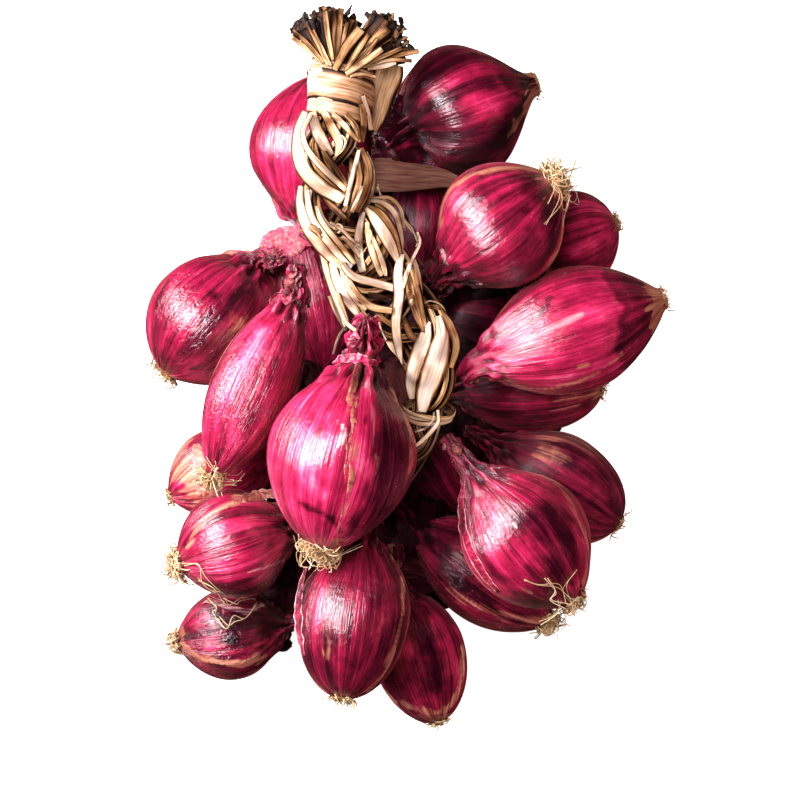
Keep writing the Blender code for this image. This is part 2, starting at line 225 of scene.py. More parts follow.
# A direction that no fibre follows for long, from which its sides are set.
ASLANT = (0.31, 0.24, 1.0)


def thread(heap, line, radius, sides, **fields):
    """Adds a thin round fibre along a line. Its radius may change on the way."""
    _, out, side = frames(line, ASLANT)
    radius = np.broadcast_to(radius, len(line))[:, None, None]
    rings = line[:, None] + spokes(out, side, round_turns(sides)) * radius
    spread = {
        name: np.repeat(np.broadcast_to(value, len(line)), sides) for name, value in fields.items()
    }
    add_tube(heap, rings, **spread)


def both_sides(w):
    """Places across the top of a sheet, and back along its underside."""
    return np.concatenate([w, w[::-1]])


def add_sheet(heap, top, under, w, half, reach, start, scale=1.0, **fields):
    """Adds a thin sheet between two grids of points, with the grain and the edge that its look reads."""
    across = both_sides(w)
    rings = np.concatenate([top, under[:, ::-1]], 1)
    grain = np.zeros(rings.shape)
    grain[..., 0] = across * half / scale
    grain[..., 1] = reach[:, None] / scale
    grain[..., 2] = start
    add_tube(heap, rings, grain=grain, edge=np.tile(np.abs(across), len(rings)), **fields)


def leaf(heap, line, out, half_width, thickness, bow=0.0, ridges=0.0, chance=None, points=9,
         scale=1.0, **fields):
    """Adds a long thin leaf along a line. bow lifts its middle, ridges fold it lengthwise."""
    rows = len(line)
    _, out, side = frames(line, out)
    w = np.linspace(-1, 1, points)
    half_width = np.broadcast_to(half_width, rows)[:, None]
    bow = np.broadcast_to(bow, rows)[:, None]
    lift = bow * (1 - w ** 2)
    if ridges and chance is not None:
        along = np.linspace(0, 1, rows)[:, None]
        ripple = Waves(chance, (2, 6), (0.3, 2.5), 7)
        lift = lift + ridges * ripple(w * 2.0, along)
    middle = line[:, None] + side[:, None] * (half_width * w)[..., None]
    middle = middle + out[:, None] * lift[..., None]
    skin = thickness * 0.5 * np.sqrt(np.clip(1 - w ** 2, 0.06, 1))[:, None] * out[:, None]
    seed = fields.setdefault("seed", 0.0)
    spread = {name: np.repeat(np.broadcast_to(value, rows), 2 * points) for name, value in fields.items()}
    add_sheet(heap, middle + skin, middle - skin, w, half_width, lengths_along(line), seed, scale, **spread)


# Points of a solid that share a place to a thousandth of a millimetre are one.
WELD = 1000


def welded(node):
    """Points in millimetres and triangles of a solid, with the points that share a place made one."""
    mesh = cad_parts[node].data
    points = np.empty(len(mesh.vertices) * 3)
    mesh.vertices.foreach_get("co", points)
    points = points.reshape(-1, 3) / MM
    triangles = np.empty(len(mesh.polygons) * 3, int)
    mesh.polygons.foreach_get("vertices", triangles)
    places = np.round(points * WELD).astype(int)
    _, first, back = np.unique(places, axis=0, return_index=True, return_inverse=True)
    return points[first], back.reshape(-1)[triangles].reshape(-1, 3)


def turned_like(ring, before):
    """Turns a ring's points, and reverses them if need be, so that they follow on from the ring before."""
    want = unit(before - before.mean(0))
    best = None
    for candidate in (ring, ring[::-1]):
        rays = unit(candidate - candidate.mean(0))
        for k in range(len(ring)):
            score = (np.roll(rays, -k, axis=0) * want).sum()
            if best is None or score > best[0]:
                best = (score, np.roll(candidate, -k, axis=0))
    return best[1]


def rings_of(node, start):
    """The rings that a solid was lofted over, from the end nearest to start."""
    points, triangles = welded(node)
    near = [set() for _ in points]
    for a, b, c in triangles.tolist():
        near[a] |= {b, c}
        near[b] |= {a, c}
        near[c] |= {a, b}
    poles = sorted(range(len(points)), key=lambda i: -len(near[i]))[:2]
    poles.sort(key=lambda i: np.linalg.norm(points[i] - start))
    seen = {poles[0]}
    layer = set(near[poles[0]])
    rings = []
    while len(layer) > 1:
        seen |= layer
        walk = [min(layer)]
        while len(walk) < len(layer):
            walk.append(next(i for i in sorted(near[walk[-1]] & layer) if i not in walk))
        ring = points[walk]
        rings.append(turned_like(ring, rings[-1]) if rings else ring)
        layer = {j for i in layer for j in near[i]} - seen
    return np.array(rings)


# How an onion's outline swells: where it is widest, how blunt its root end is, how drawn out its shoulder
# is, and how thick its neck is beside its half width.
FORMS = {
    "round": (0.86, 0.58, 0.86, 0.17),
    "full": (0.96, 0.60, 0.66, 0.18),
    "oval": (0.90, 0.62, 0.90, 0.17),
    "drop": (1.20, 0.80, 0.46, 0.27),
    "lemon": (0.96, 0.74, 0.58, 0.25),
    "long": (0.96, 0.70, 0.64, 0.24),
    "blunt": (0.92, 0.50, 0.80, 0.19),
}
# How wide the root plate is beside the onion, and between which shares of the body blunt turns into drawn
# out.
ROOT_SHARE = 0.17
DRAWN_FROM, DRAWN_OVER = 0.25, 0.6

# The onions as the solids have them, in mm: root end, shoulder, tip of the neck, half width, form, and how
# many rootlets the solid has.
ONIONS = {
    "top_left": ((-34, 115, 27), (-38, 57, 25), (-33, 50, 39), 25.5, "full", 0),
    "top_right": ((51.5, 112, 23), (1, 92.5, 36.5), (-8, 84.5, 43.5), 27.0, "drop", 0),
    "right_upper": ((58, 72, 60), (16, 37, 53), (12, 33, 49.5), 25.0, "full", 7),
    "right_behind": ((84, 57, 21), (48, 44, 21), (34, 40, 26), 18.6, "round", 0),
    "right_long": ((101, 26.5, 47), (30.5, 1.5, 52), (23.5, -4.5, 49), 24.0, "lemon", 3),
    "right_under": ((78, -8.5, 18), (18, -11.5, 18), (8, -13.5, 24), 17.2, "blunt", 2),
    "right_lower": ((85, -63, 20), (35, -31, 21), (25, -26, 28), 20.9, "blunt", 0),
    "front_right": ((66, -91, 57), (25, -39, 59), (17, -28, 54.5), 24.6, "oval", 6),
    "under_right": ((57, -101, 19), (5, -63, 19), (-2, -55, 27), 19.2, "full", 6),
    "bottom_right": ((13, -140.5, 18), (-2.5, -85, 18), (-3, -71, 26), 18.4, "blunt", 4),
    "bottom_front": ((-24, -129, 49), (-15.5, -64, 44), (-8, -49, 39), 22.2, "blunt", 5),
    "front_middle": ((-32, -70, 66), (-16, 4, 71), (-15, 17, 79), 27.8, "oval", 7),
    "left_long": ((-74, -42.5, 56.5), (-43, 27, 57.5), (-42.5, 38, 61), 16.7, "long", 7),
    "left_upper": ((-95.5, -2.5, 25), (-58.5, 40.5, 25.5), (-51, 41.5, 42), 26.1, "full", 5),
    "left_inner": ((-42, 55, 26), (-32, -4, 24), (-29, -12, 28), 15.6, "full", 0),
    "left_lower": ((-88, -76.5, 44), (-41, -61, 42), (-23, -52, 40), 21.4, "oval", 7),
    "left_under": ((-93, -51, 18), (-52, -31, 18), (-42, -26, 24), 18.0, "full", 0),
    "bottom_left": ((-90, -109, 18), (-47, -102, 18), (-41, -100, 21), 18.6, "full", 6),
    "inner_right": ((8, 76.5, 16), (7, 38, 17), (4, 30, 25), 17.0, "full", 0),
    "centre_right": ((50, 17, 16), (14, 23, 16), (7, 24, 22), 14.2, "full", 0),
    "under_plait": ((24, -57, 16), (5, -22, 16), (1, -14, 22), 14.5, "full", 0),
    "back_middle": ((-27, -44, 18), (-6, 4, 18), (-2, 12, 24), 13.2, "oval", 0),
    "back_lower": ((-40, -87, 15), (-25, -58, 15), (-18, -48, 22), 13.0, "oval", 0),
}
# The solids' lobes and rootlets come from one run of random numbers, which lobe_starts goes through again.
SEED = 20
DRAWS_A_ROOTLET = 5


def lobe_starts():
    """Where the shallow lobes and neck folds of each onion start, drawn in the order of the solids."""
    chance, starts = random.Random(SEED), {}
    for name, row in ONIONS.items():
        starts[name] = [chance.uniform(0, TAU) for _ in range(3)]
        for _ in range(DRAWS_A_ROOTLET * row[-1]):
            chance.random()
    return starts


LOBE_STARTS = lobe_starts()


def body_radius(u, half_width, form):
    """An onion's radius at shares u of its body, from the root end to the shoulder."""
    peak, blunt, drawn, neck_share = FORMS[form]
    power = blunt + (drawn - blunt) * ease((u - DRAWN_FROM) / DRAWN_OVER)
    swell = np.sin(math.pi * np.clip(u, 0.001, 0.999) ** peak) ** power
    floor = ROOT_SHARE + (neck_share - ROOT_SHARE) * u
    return half_width * (swell ** 3 + floor ** 3) ** (1 / 3)


# The front onion's neck ends in two lobes over a collar: place past the shoulder, width and how far out.
KNOB = ((1.10, 0.10, 0.10), (1.32, 0.12, 0.55), (1.52, 0.07, -0.22), (1.78, 0.15, 0.62))

# An onion's two shallow lobes and the folds of its neck, as shares of its radius there. A neck tapers and also
# draws in towards its tip, less so on the onions in NECK_SLIMS.
LOBES = (0.022, 0.014)
NECK_FOLDS = 0.13
NECK_TAPER = 0.14
NECK_SLIM = 0.42
NECK_SLIMS = {"top_right": 0.12}
AXIS_STEPS = 600

# A skin is neck or foot where it is narrower than these shares of its half width, more so the narrower.
NARROW_FROM, NARROW_FULLY = 0.66, 0.24

# The waves that crease a skin, as rounds of the onion, runs along it and how many there are: fine ribs,
# broad dents, deep folds, crumples and pleats.
CREASES = (
    ((16, 44), (0.05, 0.5), 22), ((2, 6), (0.3, 2.0), 9), ((5, 13), (0.1, 0.6), 8),
    ((4, 13), (4.0, 15.0), 22), ((14, 30), (0.0, 0.6), 14),
)

# The least height of a skin over the surface that the string lies on, in mm.
LEAST_HEIGHT = 0.15


class Bulb:
    """The smooth skin of one onion where its solid is, read by turn and share."""

    def __init__(self, name, rows, columns, seed):
        self.rows, self.columns = rows, columns
        self.chance = np.random.RandomState(seed)
        root, shoulder, tip, half_width, form, _ = ONIONS[name]
        root, shoulder, tip = np.array(root, float), np.array(shoulder, float), np.array(tip, float)
        knots = [root, root + (shoulder - root) * 0.33, root + (shoulder - root) * 0.66, shoulder, tip]
        axis = curve(knots, AXIS_STEPS)
        reach = np.linspace(0, 1, AXIS_STEPS) * np.linalg.norm(np.diff(axis, axis=0), axis=1).sum()
        body = np.linalg.norm(shoulder - root)
        u = np.where(reach < body, reach / body, 1 + (reach - body) / max(1e-6, reach[-1] - body))
        radius = body_radius(np.minimum(u, 1), half_width, form) * (1 - NECK_TAPER * np.maximum(0, u - 1))
        meridian = np.concatenate([[0], np.cumsum(np.hypot(np.diff(reach), np.diff(radius)))]) + radius[0]
        total = meridian[-1] + radius[-1]
        self.share = np.linspace(0, 1, rows)
        want = self.share * total
        place = np.interp(want, meridian, reach)
        self.length = total
        u = np.interp(place, reach, u)
        centre = np.stack([np.interp(place, reach, axis[:, k]) for k in range(3)], 1)
        size = np.interp(want, np.concatenate([[0], meridian, [total]]), np.concatenate([[0], radius, [0]]))
        tangent = unit(np.stack([np.interp(place, reach, np.gradient(axis[:, k])) for k in range(3)], 1))
        self.axis = unit(shoulder - root)
        self.turn = round_turns(columns)
        ray = spokes(*upright(tangent), self.turn)
        starts = LOBE_STARTS[name]
        turn = self.turn + math.pi
        bulge = np.where(u < 1, np.sin(math.pi * np.minimum(u, 1)), 0)[:, None]
        lobes = LOBES[0] * np.cos(2 * turn + starts[0]) + LOBES[1] * np.cos(3 * turn + starts[1])
        wave = 1 + bulge * lobes
        wave = wave + NECK_FOLDS * ease((u - 0.72) / 0.3)[:, None] * np.cos(4 * turn + starts[2])
        slim = 1 - NECK_SLIMS.get(name, NECK_SLIM) * ease(u, 1.0, 1.9)
        if name == "front_middle":
            for place, width, amount in KNOB:
                slim = slim + amount * np.exp(-((u - place) / width) ** 2)
        self.skin = centre[:, None] + ray * (size * slim)[:, None, None] * wave[..., None]
        low, high = (np.array(corner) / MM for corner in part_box("bulb_" + name))
        mine_low, mine_high = self.skin.min((0, 1)), self.skin.max((0, 1))
        move = ((low + high) - (mine_low + mine_high)) / 2
        move[2] = high[2] - mine_high[2]
        self.skin += move
        self.reach = size
        self.radius = half_width
        narrow = ease(NARROW_FROM - size / half_width, 0.0, NARROW_FROM - NARROW_FULLY)
        self.neck = narrow * (self.share > 0.5)
        self.foot = narrow * (self.share < 0.5)
        self.find_normals()

    def find_normals(self):
        """Sets the outward direction at each point of the skin."""
        around = np.roll(self.skin, -1, axis=1) - np.roll(self.skin, 1, axis=1)
        along = np.gradient(self.skin, axis=0)
        normal = unit(np.cross(along, around))
        away = self.skin - self.skin.mean(1, keepdims=True)
        if (normal * away).sum() < 0:
            normal = -normal
        normal[0] = -self.axis
        normal[-1] = unit(self.skin[-1] - self.skin[-2].mean(0))
        self.normal = normal

    def crease(self, ribs, dents, folds):
        """Lifts the skin into fine ribs, shallow dents and crumpled folds at the neck. Heights in mm."""
        turn, share = self.turn, self.share[:, None]
        local = (self.reach / self.radius)[:, None]
        neck, foot = self.neck[:, None], self.foot[:, None]
        fine, broad, deep, crumple, pleats = (Waves(self.chance, *row)(turn, share) for row in CREASES)
        height = fine * ribs * local + broad * dents * local
        height = height + (deep * 0.12 + crumple * 0.075) * folds * neck * self.reach[:, None]
        height = height + pleats * 0.16 * foot
        # The heights of the neck folds and foot pleats, which the tone uses to paint shade in their grooves
        # and light on their ridges.
        self.relief = neck * (0.6 * crumple + 0.5 * deep) + 0.4 * foot * pleats
        self.skin = self.skin + self.normal * height[..., None]
        self.skin[0] = self.skin[0].mean(0)
        self.skin[-1] = self.skin[-1].mean(0)
        self.skin[..., 2] = np.maximum(self.skin[..., 2], LEAST_HEIGHT)
        self.find_normals()

    def at(self, turn, share, off=0.0):
        """Places over the skin, off it by a height."""
        turn = np.mod(np.asarray(turn, float), TAU) / TAU * self.columns
        row = np.clip(np.asarray(share, float), 0, 1) * (self.rows - 1)
        i, j = np.minimum(row.astype(int), self.rows - 2), turn.astype(int) % self.columns
        a, b = (row - i)[..., None], (turn - turn.astype(int))[..., None]
        k = (j + 1) % self.columns
        out = 0
        for table, weight in ((self.skin, 1.0), (self.normal, np.asarray(off, float)[..., None])):
            before = (1 - b) * table[i, j] + b * table[i, k]
            after = (1 - b) * table[i + 1, j] + b * table[i + 1, k]
            out = out + ((1 - a) * before + a * after) * weight
        return out

    def seen_at(self, px, py):
        """Turn and share of the skin that the camera sees nearest to a pixel."""
        gap = np.linalg.norm(to_pixels(self.skin) - np.array([px, py]), axis=2)
        gap = gap + 1000 * (self.normal[..., 2] < -0.05)
        i, j = np.unravel_index(np.argmin(gap), gap.shape)
        return self.turn[j], self.share[i]

    def stroke(self, pixels, width, soft=0.15, ragged=0.6):
        """How near the skin is to a line drawn in pixels: 1 on it, and 0 past its width in mm.

        It starts to fade at the share soft of its width, and ragged tears its edge.
        """
        places = [self.at(*self.seen_at(px, py)) for px, py in pixels]
        line = curve(places, 24) if len(places) > 1 else np.array(places)
        gap = np.min(np.linalg.norm(self.skin[:, :, None] - line[None, None], axis=3), axis=2)
        rough = Waves(self.chance, (3, 22), (0.5, 9.0), 26)(self.turn, self.share[:, None])
        return 1.0 - ease(gap * (1 + ragged * 0.5 * rough * (1.05 - soft)), soft * width, width)

    def add_to(self, heap, **fields):
        """Adds the skin as a closed form with the fields that its look reads."""
        rows, columns = self.rows, self.columns
        body = self.skin[1:-1]
        points = np.vstack([body.reshape(-1, 3), self.skin[0, :1], self.skin[-1, :1]])
        faces = grid_faces(rows - 2, columns, True)
        root, tip, last = (rows - 2) * columns, (rows - 2) * columns + 1, (rows - 3) * columns
        for j in range(columns):
            k = (j + 1) % columns
            faces.append((root, k, j))
            faces.append((tip, last + j, last + k))

        def flat(field):
            field = np.broadcast_to(field, (rows, columns) + np.shape(field)[2:])
            middle = field[1:-1].reshape((-1,) + field.shape[2:])
            return np.concatenate([middle, field[0, :1], field[-1, :1]])

        grain = np.zeros((rows, columns, 3))
        grain[..., 0] = np.cos(self.turn)
        grain[..., 1] = np.sin(self.turn)
        grain[..., 2] = (self.share * self.length / self.radius)[:, None]
        heap.add(points, faces, grain=flat(grain), **{name: flat(value) for name, value in fields.items()})


def maths(operation, reflected=False):
    """An operator that adds a Math node. Reflected, it takes its values the other way round."""
    def operator(self, other):
        first, second = (other, self) if reflected else (self, other)
        return self.look.add("ShaderNodeMath", {"operation": operation}, {0: first, 1: second})
    return operator


class Link:
    """A socket that can be added, subtracted and multiplied, which adds Math nodes to its tree."""

    def __init__(self, look, socket):
        self.look, self.socket = look, socket

    __add__ = maths("ADD")
    __radd__ = maths("ADD", True)
    __sub__ = maths("SUBTRACT")
    __rsub__ = maths("SUBTRACT", True)
    __mul__ = maths("MULTIPLY")
    __rmul__ = maths("MULTIPLY", True)


class Look:
    """One material, whose nodes are added by a single method."""

    def __init__(self, name, roughness, specular=0.5, coat_roughness=0.12, sheen=0.0):
        self.material = bpy.data.materials.new(name)
        self.material.use_nodes = True
        self.tree = self.material.node_tree
        self.shader = self.tree.nodes["Principled BSDF"]
        self.set("Roughness", roughness)
        self.set("Specular IOR Level", specular)
        self.set("Coat Roughness", coat_roughness)
        self.set("Sheen Weight", sheen)

    def give(self, socket, value):
        """Links a socket, or sets its value."""
        if isinstance(value, Link):
            self.tree.links.new(value.socket, socket)
        else:
            socket.default_value = value

    def set(self, socket, value):
        self.give(self.shader.inputs[socket], value)

    def add(self, kind, settings=None, inputs=None, output=0):
        """Adds a node: its settings first, then the values or links of its sockets."""
        node = self.tree.nodes.new(kind)
        for name, value in (settings or {}).items():
            if name == "stops":
                ramp = node.color_ramp
                while len(ramp.elements) < len(value):
                    ramp.elements.new(0.5)
                for element, (place, colour) in zip(ramp.elements, value):
                    element.position = place
                    element.color = (*colour, 1.0)
            else:
                setattr(node, name, value)
        for name, value in (inputs or {}).items():
            self.give(node.inputs[name], value)
        return Link(self, node.outputs[output])

    def field(self, name, output="Fac"):
        return self.add("ShaderNodeAttribute", {"attribute_name": name}, output=output)

    def noise(self, vector, stretch, detail=3.0, roughness=0.55, distortion=0.0):
        """Noise over a vector that is stretched first."""
        vector = self.add("ShaderNodeVectorMath", {"operation": "MULTIPLY"}, {0: vector, 1: stretch})
        return self.add("ShaderNodeTexNoise", None, {
            "Vector": vector, "Scale": 1.0, "Detail": detail,
            "Roughness": roughness, "Distortion": distortion,
        })

    def step(self, value, low, high):
        """0 below low, 1 above high, smooth between them."""
        return self.add("ShaderNodeMapRange", {"interpolation_type": "SMOOTHSTEP"}, {
            "Value": value, "From Min": low, "From Max": high, "To Min": 0.0, "To Max": 1.0,
        })

    def ramp(self, value, stops):
        return self.add("ShaderNodeValToRGB", {"stops": stops}, {"Fac": value})

    def mix(self, share, first, second, blend="MIX"):
        """Two colours blended, by a share."""
        first, second = ((*paint, 1.0) if isinstance(paint, tuple) else paint for paint in (first, second))
        settings = {"data_type": "RGBA", "blend_type": blend, "clamp_factor": True}
        return self.add("ShaderNodeMix", settings, {0: share, 6: first, 7: second}, output=2)

    def bump(self, height, strength, distance):
        inputs = {"Height": height, "Strength": strength, "Distance": distance}
        self.set("Normal", self.add("ShaderNodeBump", None, inputs))


def onion_skin(name, specular, roughness):
    """Glossy papery skin, striped from the root end to the neck, dry and brown where it is old."""
    look = Look(name, roughness, specular=specular, coat_roughness=0.16, sheen=0.12)
    look.set("Sheen Roughness", 0.35)
    look.set("Sheen Tint", (1.0, 0.42, 0.34, 1.0))
    look.set("Specular Tint", (1.0, 0.80, 0.87, 1.0))
    grain = look.field("grain", "Vector")
    shift = look.field("seed")
    away = look.add("ShaderNodeCombineXYZ", None, {"X": shift * 3.7, "Y": shift * 1.9, "Z": shift * 5.3})
    place = look.add("ShaderNodeVectorMath", {"operation": "ADD"}, {0: grain, 1: away})
    broad = look.noise(place, (3.2, 3.2, 0.30), 3.0)
    stripes = look.noise(place, (10.0, 10.0, 0.42), 4.0, 0.62)
    veins = look.noise(place, (30.0, 30.0, 0.9), 3.0, 0.6)
    cloudy = look.noise(place, (2.6, 2.6, 1.9), 5.0, 0.65)
    specks = look.noise(place, (24.0, 24.0, 17.0), 4.0, 0.7)
    wrinkles = look.noise(place, (7.5, 7.5, 5.0), 3.0, 0.6, 1.1)
    tone, dry, pale, rust, crinkled = map(look.field, ("tone", "dry", "pale", "rust", "crinkled"))
    level = tone - 0.04 + (broad - 0.5) * 0.80 + (stripes - 0.5) * 0.66 + (veins - 0.5) * 0.36
    level = level + (cloudy - 0.5) * 0.72
    level = look.add("ShaderNodeMath", {"operation": "MAXIMUM"}, {0: level, 1: tone - 0.30})
    colour = look.ramp(level, (
        (0.00, (0.006, 0.0003, 0.0018)),
        (0.20, (0.032, 0.0008, 0.0065)),
        (0.40, (0.130, 0.0035, 0.0190)),
        (0.58, (0.345, 0.0075, 0.0480)),
        (0.76, (0.600, 0.0300, 0.1250)),
        (1.00, (0.880, 0.2600, 0.3900)),
    ))
    # Pale colour, partly bleached skin and partly painted highlight where the pale marks lie on the lit sides.
    bleached_and_highlight = look.ramp(stripes * 0.7 + cloudy * 0.5, (
        (0.30, (0.66, 0.14, 0.22)), (0.55, (0.88, 0.44, 0.48)), (0.80, (0.95, 0.76, 0.70)),
    ))
    paper = look.ramp(stripes * 0.6 + cloudy * 0.4 + specks * 0.25, (
        (0.36, (0.050, 0.006, 0.008)), (0.56, (0.20, 0.040, 0.026)),
        (0.74, (0.44, 0.16, 0.090)), (0.95, (0.74, 0.46, 0.30)),
    ))
    # Rust colour, which also paints the rim light along the edges of the skins.
    rust_and_rim_colour = look.ramp(stripes * 0.8 + specks * 0.25, (
        (0.34, (0.16, 0.022, 0.022)), (0.50, (0.44, 0.105, 0.070)),
        (0.66, (0.70, 0.290, 0.190)), (0.86, (0.86, 0.550, 0.380)),
    ))
    pale_share = look.step(pale + (stripes - 0.5) * 0.9, 0.30, 0.75)
    dry_share = look.step(dry + (cloudy - 0.5) * 0.7 + (stripes - 0.5) * 0.6, 0.38, 0.72)
    rust_and_rim_share = look.step(rust + (stripes - 0.5) * 0.9 + (cloudy - 0.5) * 0.5, 0.28, 0.80)
    colour = look.mix(rust_and_rim_share, colour, rust_and_rim_colour)
    colour = look.mix(pale_share, colour, bleached_and_highlight)
    colour = look.mix(dry_share, colour, paper)
    look.set("Base Color", colour)
    look.set("Roughness", roughness + (cloudy - 0.5) * 0.26 + dry_share * 0.14 + rust_and_rim_share * 0.08)
    look.set("Coat Weight", 0.12 * specular * (1.0 - dry_share))
    relief = stripes * 0.75 + veins * 0.45 + specks * 0.16 * (0.4 + dry_share) + wrinkles * crinkled
    look.bump(relief, 0.85, 0.0010)
    return look.material


def straw(name, light, dark, roughness, tint=(1.0, 1.0, 1.0)):
    """Dried leaf with fine lengthwise grain, golden at its edges. light and dark move its level."""
    look = Look(name, roughness, specular=0.30)
    grain = look.field("grain", "Vector")
    tone, edge, burnt = look.field("tone"), look.field("edge"), look.field("burnt")
    streaks = look.noise(grain, (1.9, 0.050, 7.3), 5.0, 0.62)
    fine = look.noise(grain, (6.5, 0.16, 7.3), 3.0, 0.6)
    patches = look.noise(grain, (0.35, 0.13, 5.1), 3.0, 0.5)
    level = light + (tone - 0.5) * 0.60 + (streaks - 0.5) * 1.10 + (fine - 0.5) * 0.45
    level = level + (patches - 0.5) * 0.55
    # Burnt ends of cut leaves darken the level, and so does the painted shade of a strand's core.
    level = level - look.step(edge, 0.62, 0.98) * 0.68 - burnt * dark
    colour = look.ramp(level, (
        (0.00, (0.010, 0.004, 0.003)),
        (0.20, (0.075, 0.026, 0.012)),
        (0.38, (0.330, 0.140, 0.048)),
        (0.56, (0.560, 0.310, 0.150)),
        (0.76, (0.700, 0.510, 0.400)),
        (1.00, (0.820, 0.690, 0.650)),
    ))
    look.set("Base Color", look.mix(1.0, colour, tint, "MULTIPLY"))
    look.set("Roughness", roughness + (streaks - 0.5) * 0.25)
    look.bump(streaks * 0.7 + fine * 0.6, 0.6, 0.0004)
    return look.material


def root_fibre():
    """Dry curled rootlets, pale tan with brown stretches."""
    look = Look("root_fibre", 0.75, specular=0.3)
    tone = look.field("tone")
    colour = look.ramp(tone, (
        (0.0, (0.06, 0.022, 0.010)), (0.4, (0.42, 0.23, 0.11)),
        (0.75, (0.72, 0.50, 0.29)), (1.0, (0.90, 0.76, 0.56)),
    ))
    look.set("Base Color", colour)
    return look.material


def shade_filling_leaf():
    """Very dark purple brown leaf, matt and creased, put in the gaps between the onions as painted shade."""
    look = Look("shade_filling_leaf", 0.65, specular=0.10)
    grain = look.field("grain", "Vector")
    tone = look.field("tone")
    streaks = look.noise(grain, (1.2, 0.08, 7.3), 4.0, 0.62)
    level = tone + (streaks - 0.5) * 0.8
    colour = look.ramp(level, (
        (0.00, (0.004, 0.0006, 0.0012)), (0.35, (0.022, 0.0022, 0.0052)),
        (0.70, (0.080, 0.0160, 0.0160)), (1.00, (0.210, 0.1000, 0.0640)),
    ))
    look.set("Base Color", colour)
    look.bump(streaks, 0.6, 0.0005)
    return look.material


SHADE_LEAF = shade_filling_leaf()
SKIN = onion_skin("onion_skin", 1.0, 0.24)
DULL_SKIN = onion_skin("dull_onion_skin", 0.45, 0.40)
STRAW = straw("dried_leaf", 0.46, 0.6, 0.62)
BAND = straw("tie_leaf", 0.44, 0.6, 0.55)
CUT = straw("cut_leaf", 0.37, 0.62, 0.7)
WRAPS = straw("wrapping_leaf", 0.49, 0.6, 0.55, (0.80, 0.77, 0.88))
FIBRE = root_fibre()

# Each onion's tone, its ribs, dents and neck folds in mm, how dry it is, how rusty its sides are (a rust that
# is partly painted rim light), and how many rootlets it has and their length in mm.
FINISHES = {
    "top_left": (0.60, 0.05, 0.30, 1.0, 0.06, 0.45, 24, 4),
    "top_right": (0.35, 0.10, 0.55, 0.35, 0.04, 0.50, 14, 3),
    "right_upper": (0.50, 0.07, 0.35, 1.2, 0.12, 0.50, 260, 11),
    "right_behind": (0.54, 0.06, 0.35, 1.0, 0.20, 0.50, 20, 4),
    "right_long": (0.60, 0.05, 0.40, 0.8, 0.00, 0.45, 30, 3),
    "right_under": (0.36, 0.06, 0.35, 1.0, 0.18, 0.45, 50, 4),
    "right_lower": (0.37, 0.06, 0.45, 1.0, 0.08, 0.85, 24, 4),
    "front_right": (0.54, 0.06, 0.45, 0.7, 0.04, 0.70, 110, 8),
    "under_right": (0.42, 0.08, 0.40, 1.0, 0.06, 0.60, 170, 9),
    "bottom_right": (0.44, 0.08, 0.40, 1.0, 0.04, 0.95, 50, 4),
    "bottom_front": (0.41, 0.10, 0.45, 1.2, 0.10, 0.75, 60, 5),
    "front_middle": (0.59, 0.06, 0.45, 1.3, 0.06, 0.55, 190, 11),
    "left_long": (0.60, 0.08, 0.35, 1.4, 0.02, 0.60, 170, 9),
    "left_upper": (0.52, 0.10, 0.60, 1.2, 0.04, 0.80, 60, 8),
    "left_inner": (0.56, 0.06, 0.40, 1.0, 0.02, 0.50, 0, 0),
    "left_lower": (0.55, 0.06, 0.35, 1.2, 0.04, 0.60, 230, 10),
    "left_under": (0.56, 0.06, 0.40, 1.0, 0.06, 1.10, 30, 6),
    "bottom_left": (0.44, 0.07, 0.45, 1.0, 0.12, 0.80, 110, 8),
    "inner_right": (0.33, 0.06, 0.40, 1.0, 0.10, 0.20, 0, 0),
    "centre_right": (0.32, 0.05, 0.35, 1.0, 0.15, 0.20, 0, 0),
    "under_plait": (0.30, 0.05, 0.35, 1.0, 0.15, 0.20, 0, 0),
    "back_middle": (0.30, 0.05, 0.30, 1.0, 0.15, 0.20, 0, 0),
    "back_lower": (0.30, 0.05, 0.30, 1.0, 0.15, 0.20, 0, 0),
}
# How crinkled the glossy skin is where it isn't as most are.
MOSTLY_CRINKLED = 0.35
CRINKLED = {
    "left_upper": 1.2, "top_right": 0.5, "front_right": 0.5, "front_middle": 0.30, "left_long": 0.6,
    "right_upper": 0.55, "bottom_front": 0.55, "left_lower": 0.45, "bottom_left": 1.1, "under_right": 0.6,
}

# Onions deep in the string, and those with a duller skin.
COARSE = ("inner_right", "centre_right", "under_plait", "back_middle", "back_lower")
DULL = COARSE + ("right_under", "right_lower", "right_behind")

# Rows and columns of an onion's skin, fewer where hardly anything is seen of it.
FINE_GRID, COARSE_GRID = (98, 112), (56, 64)
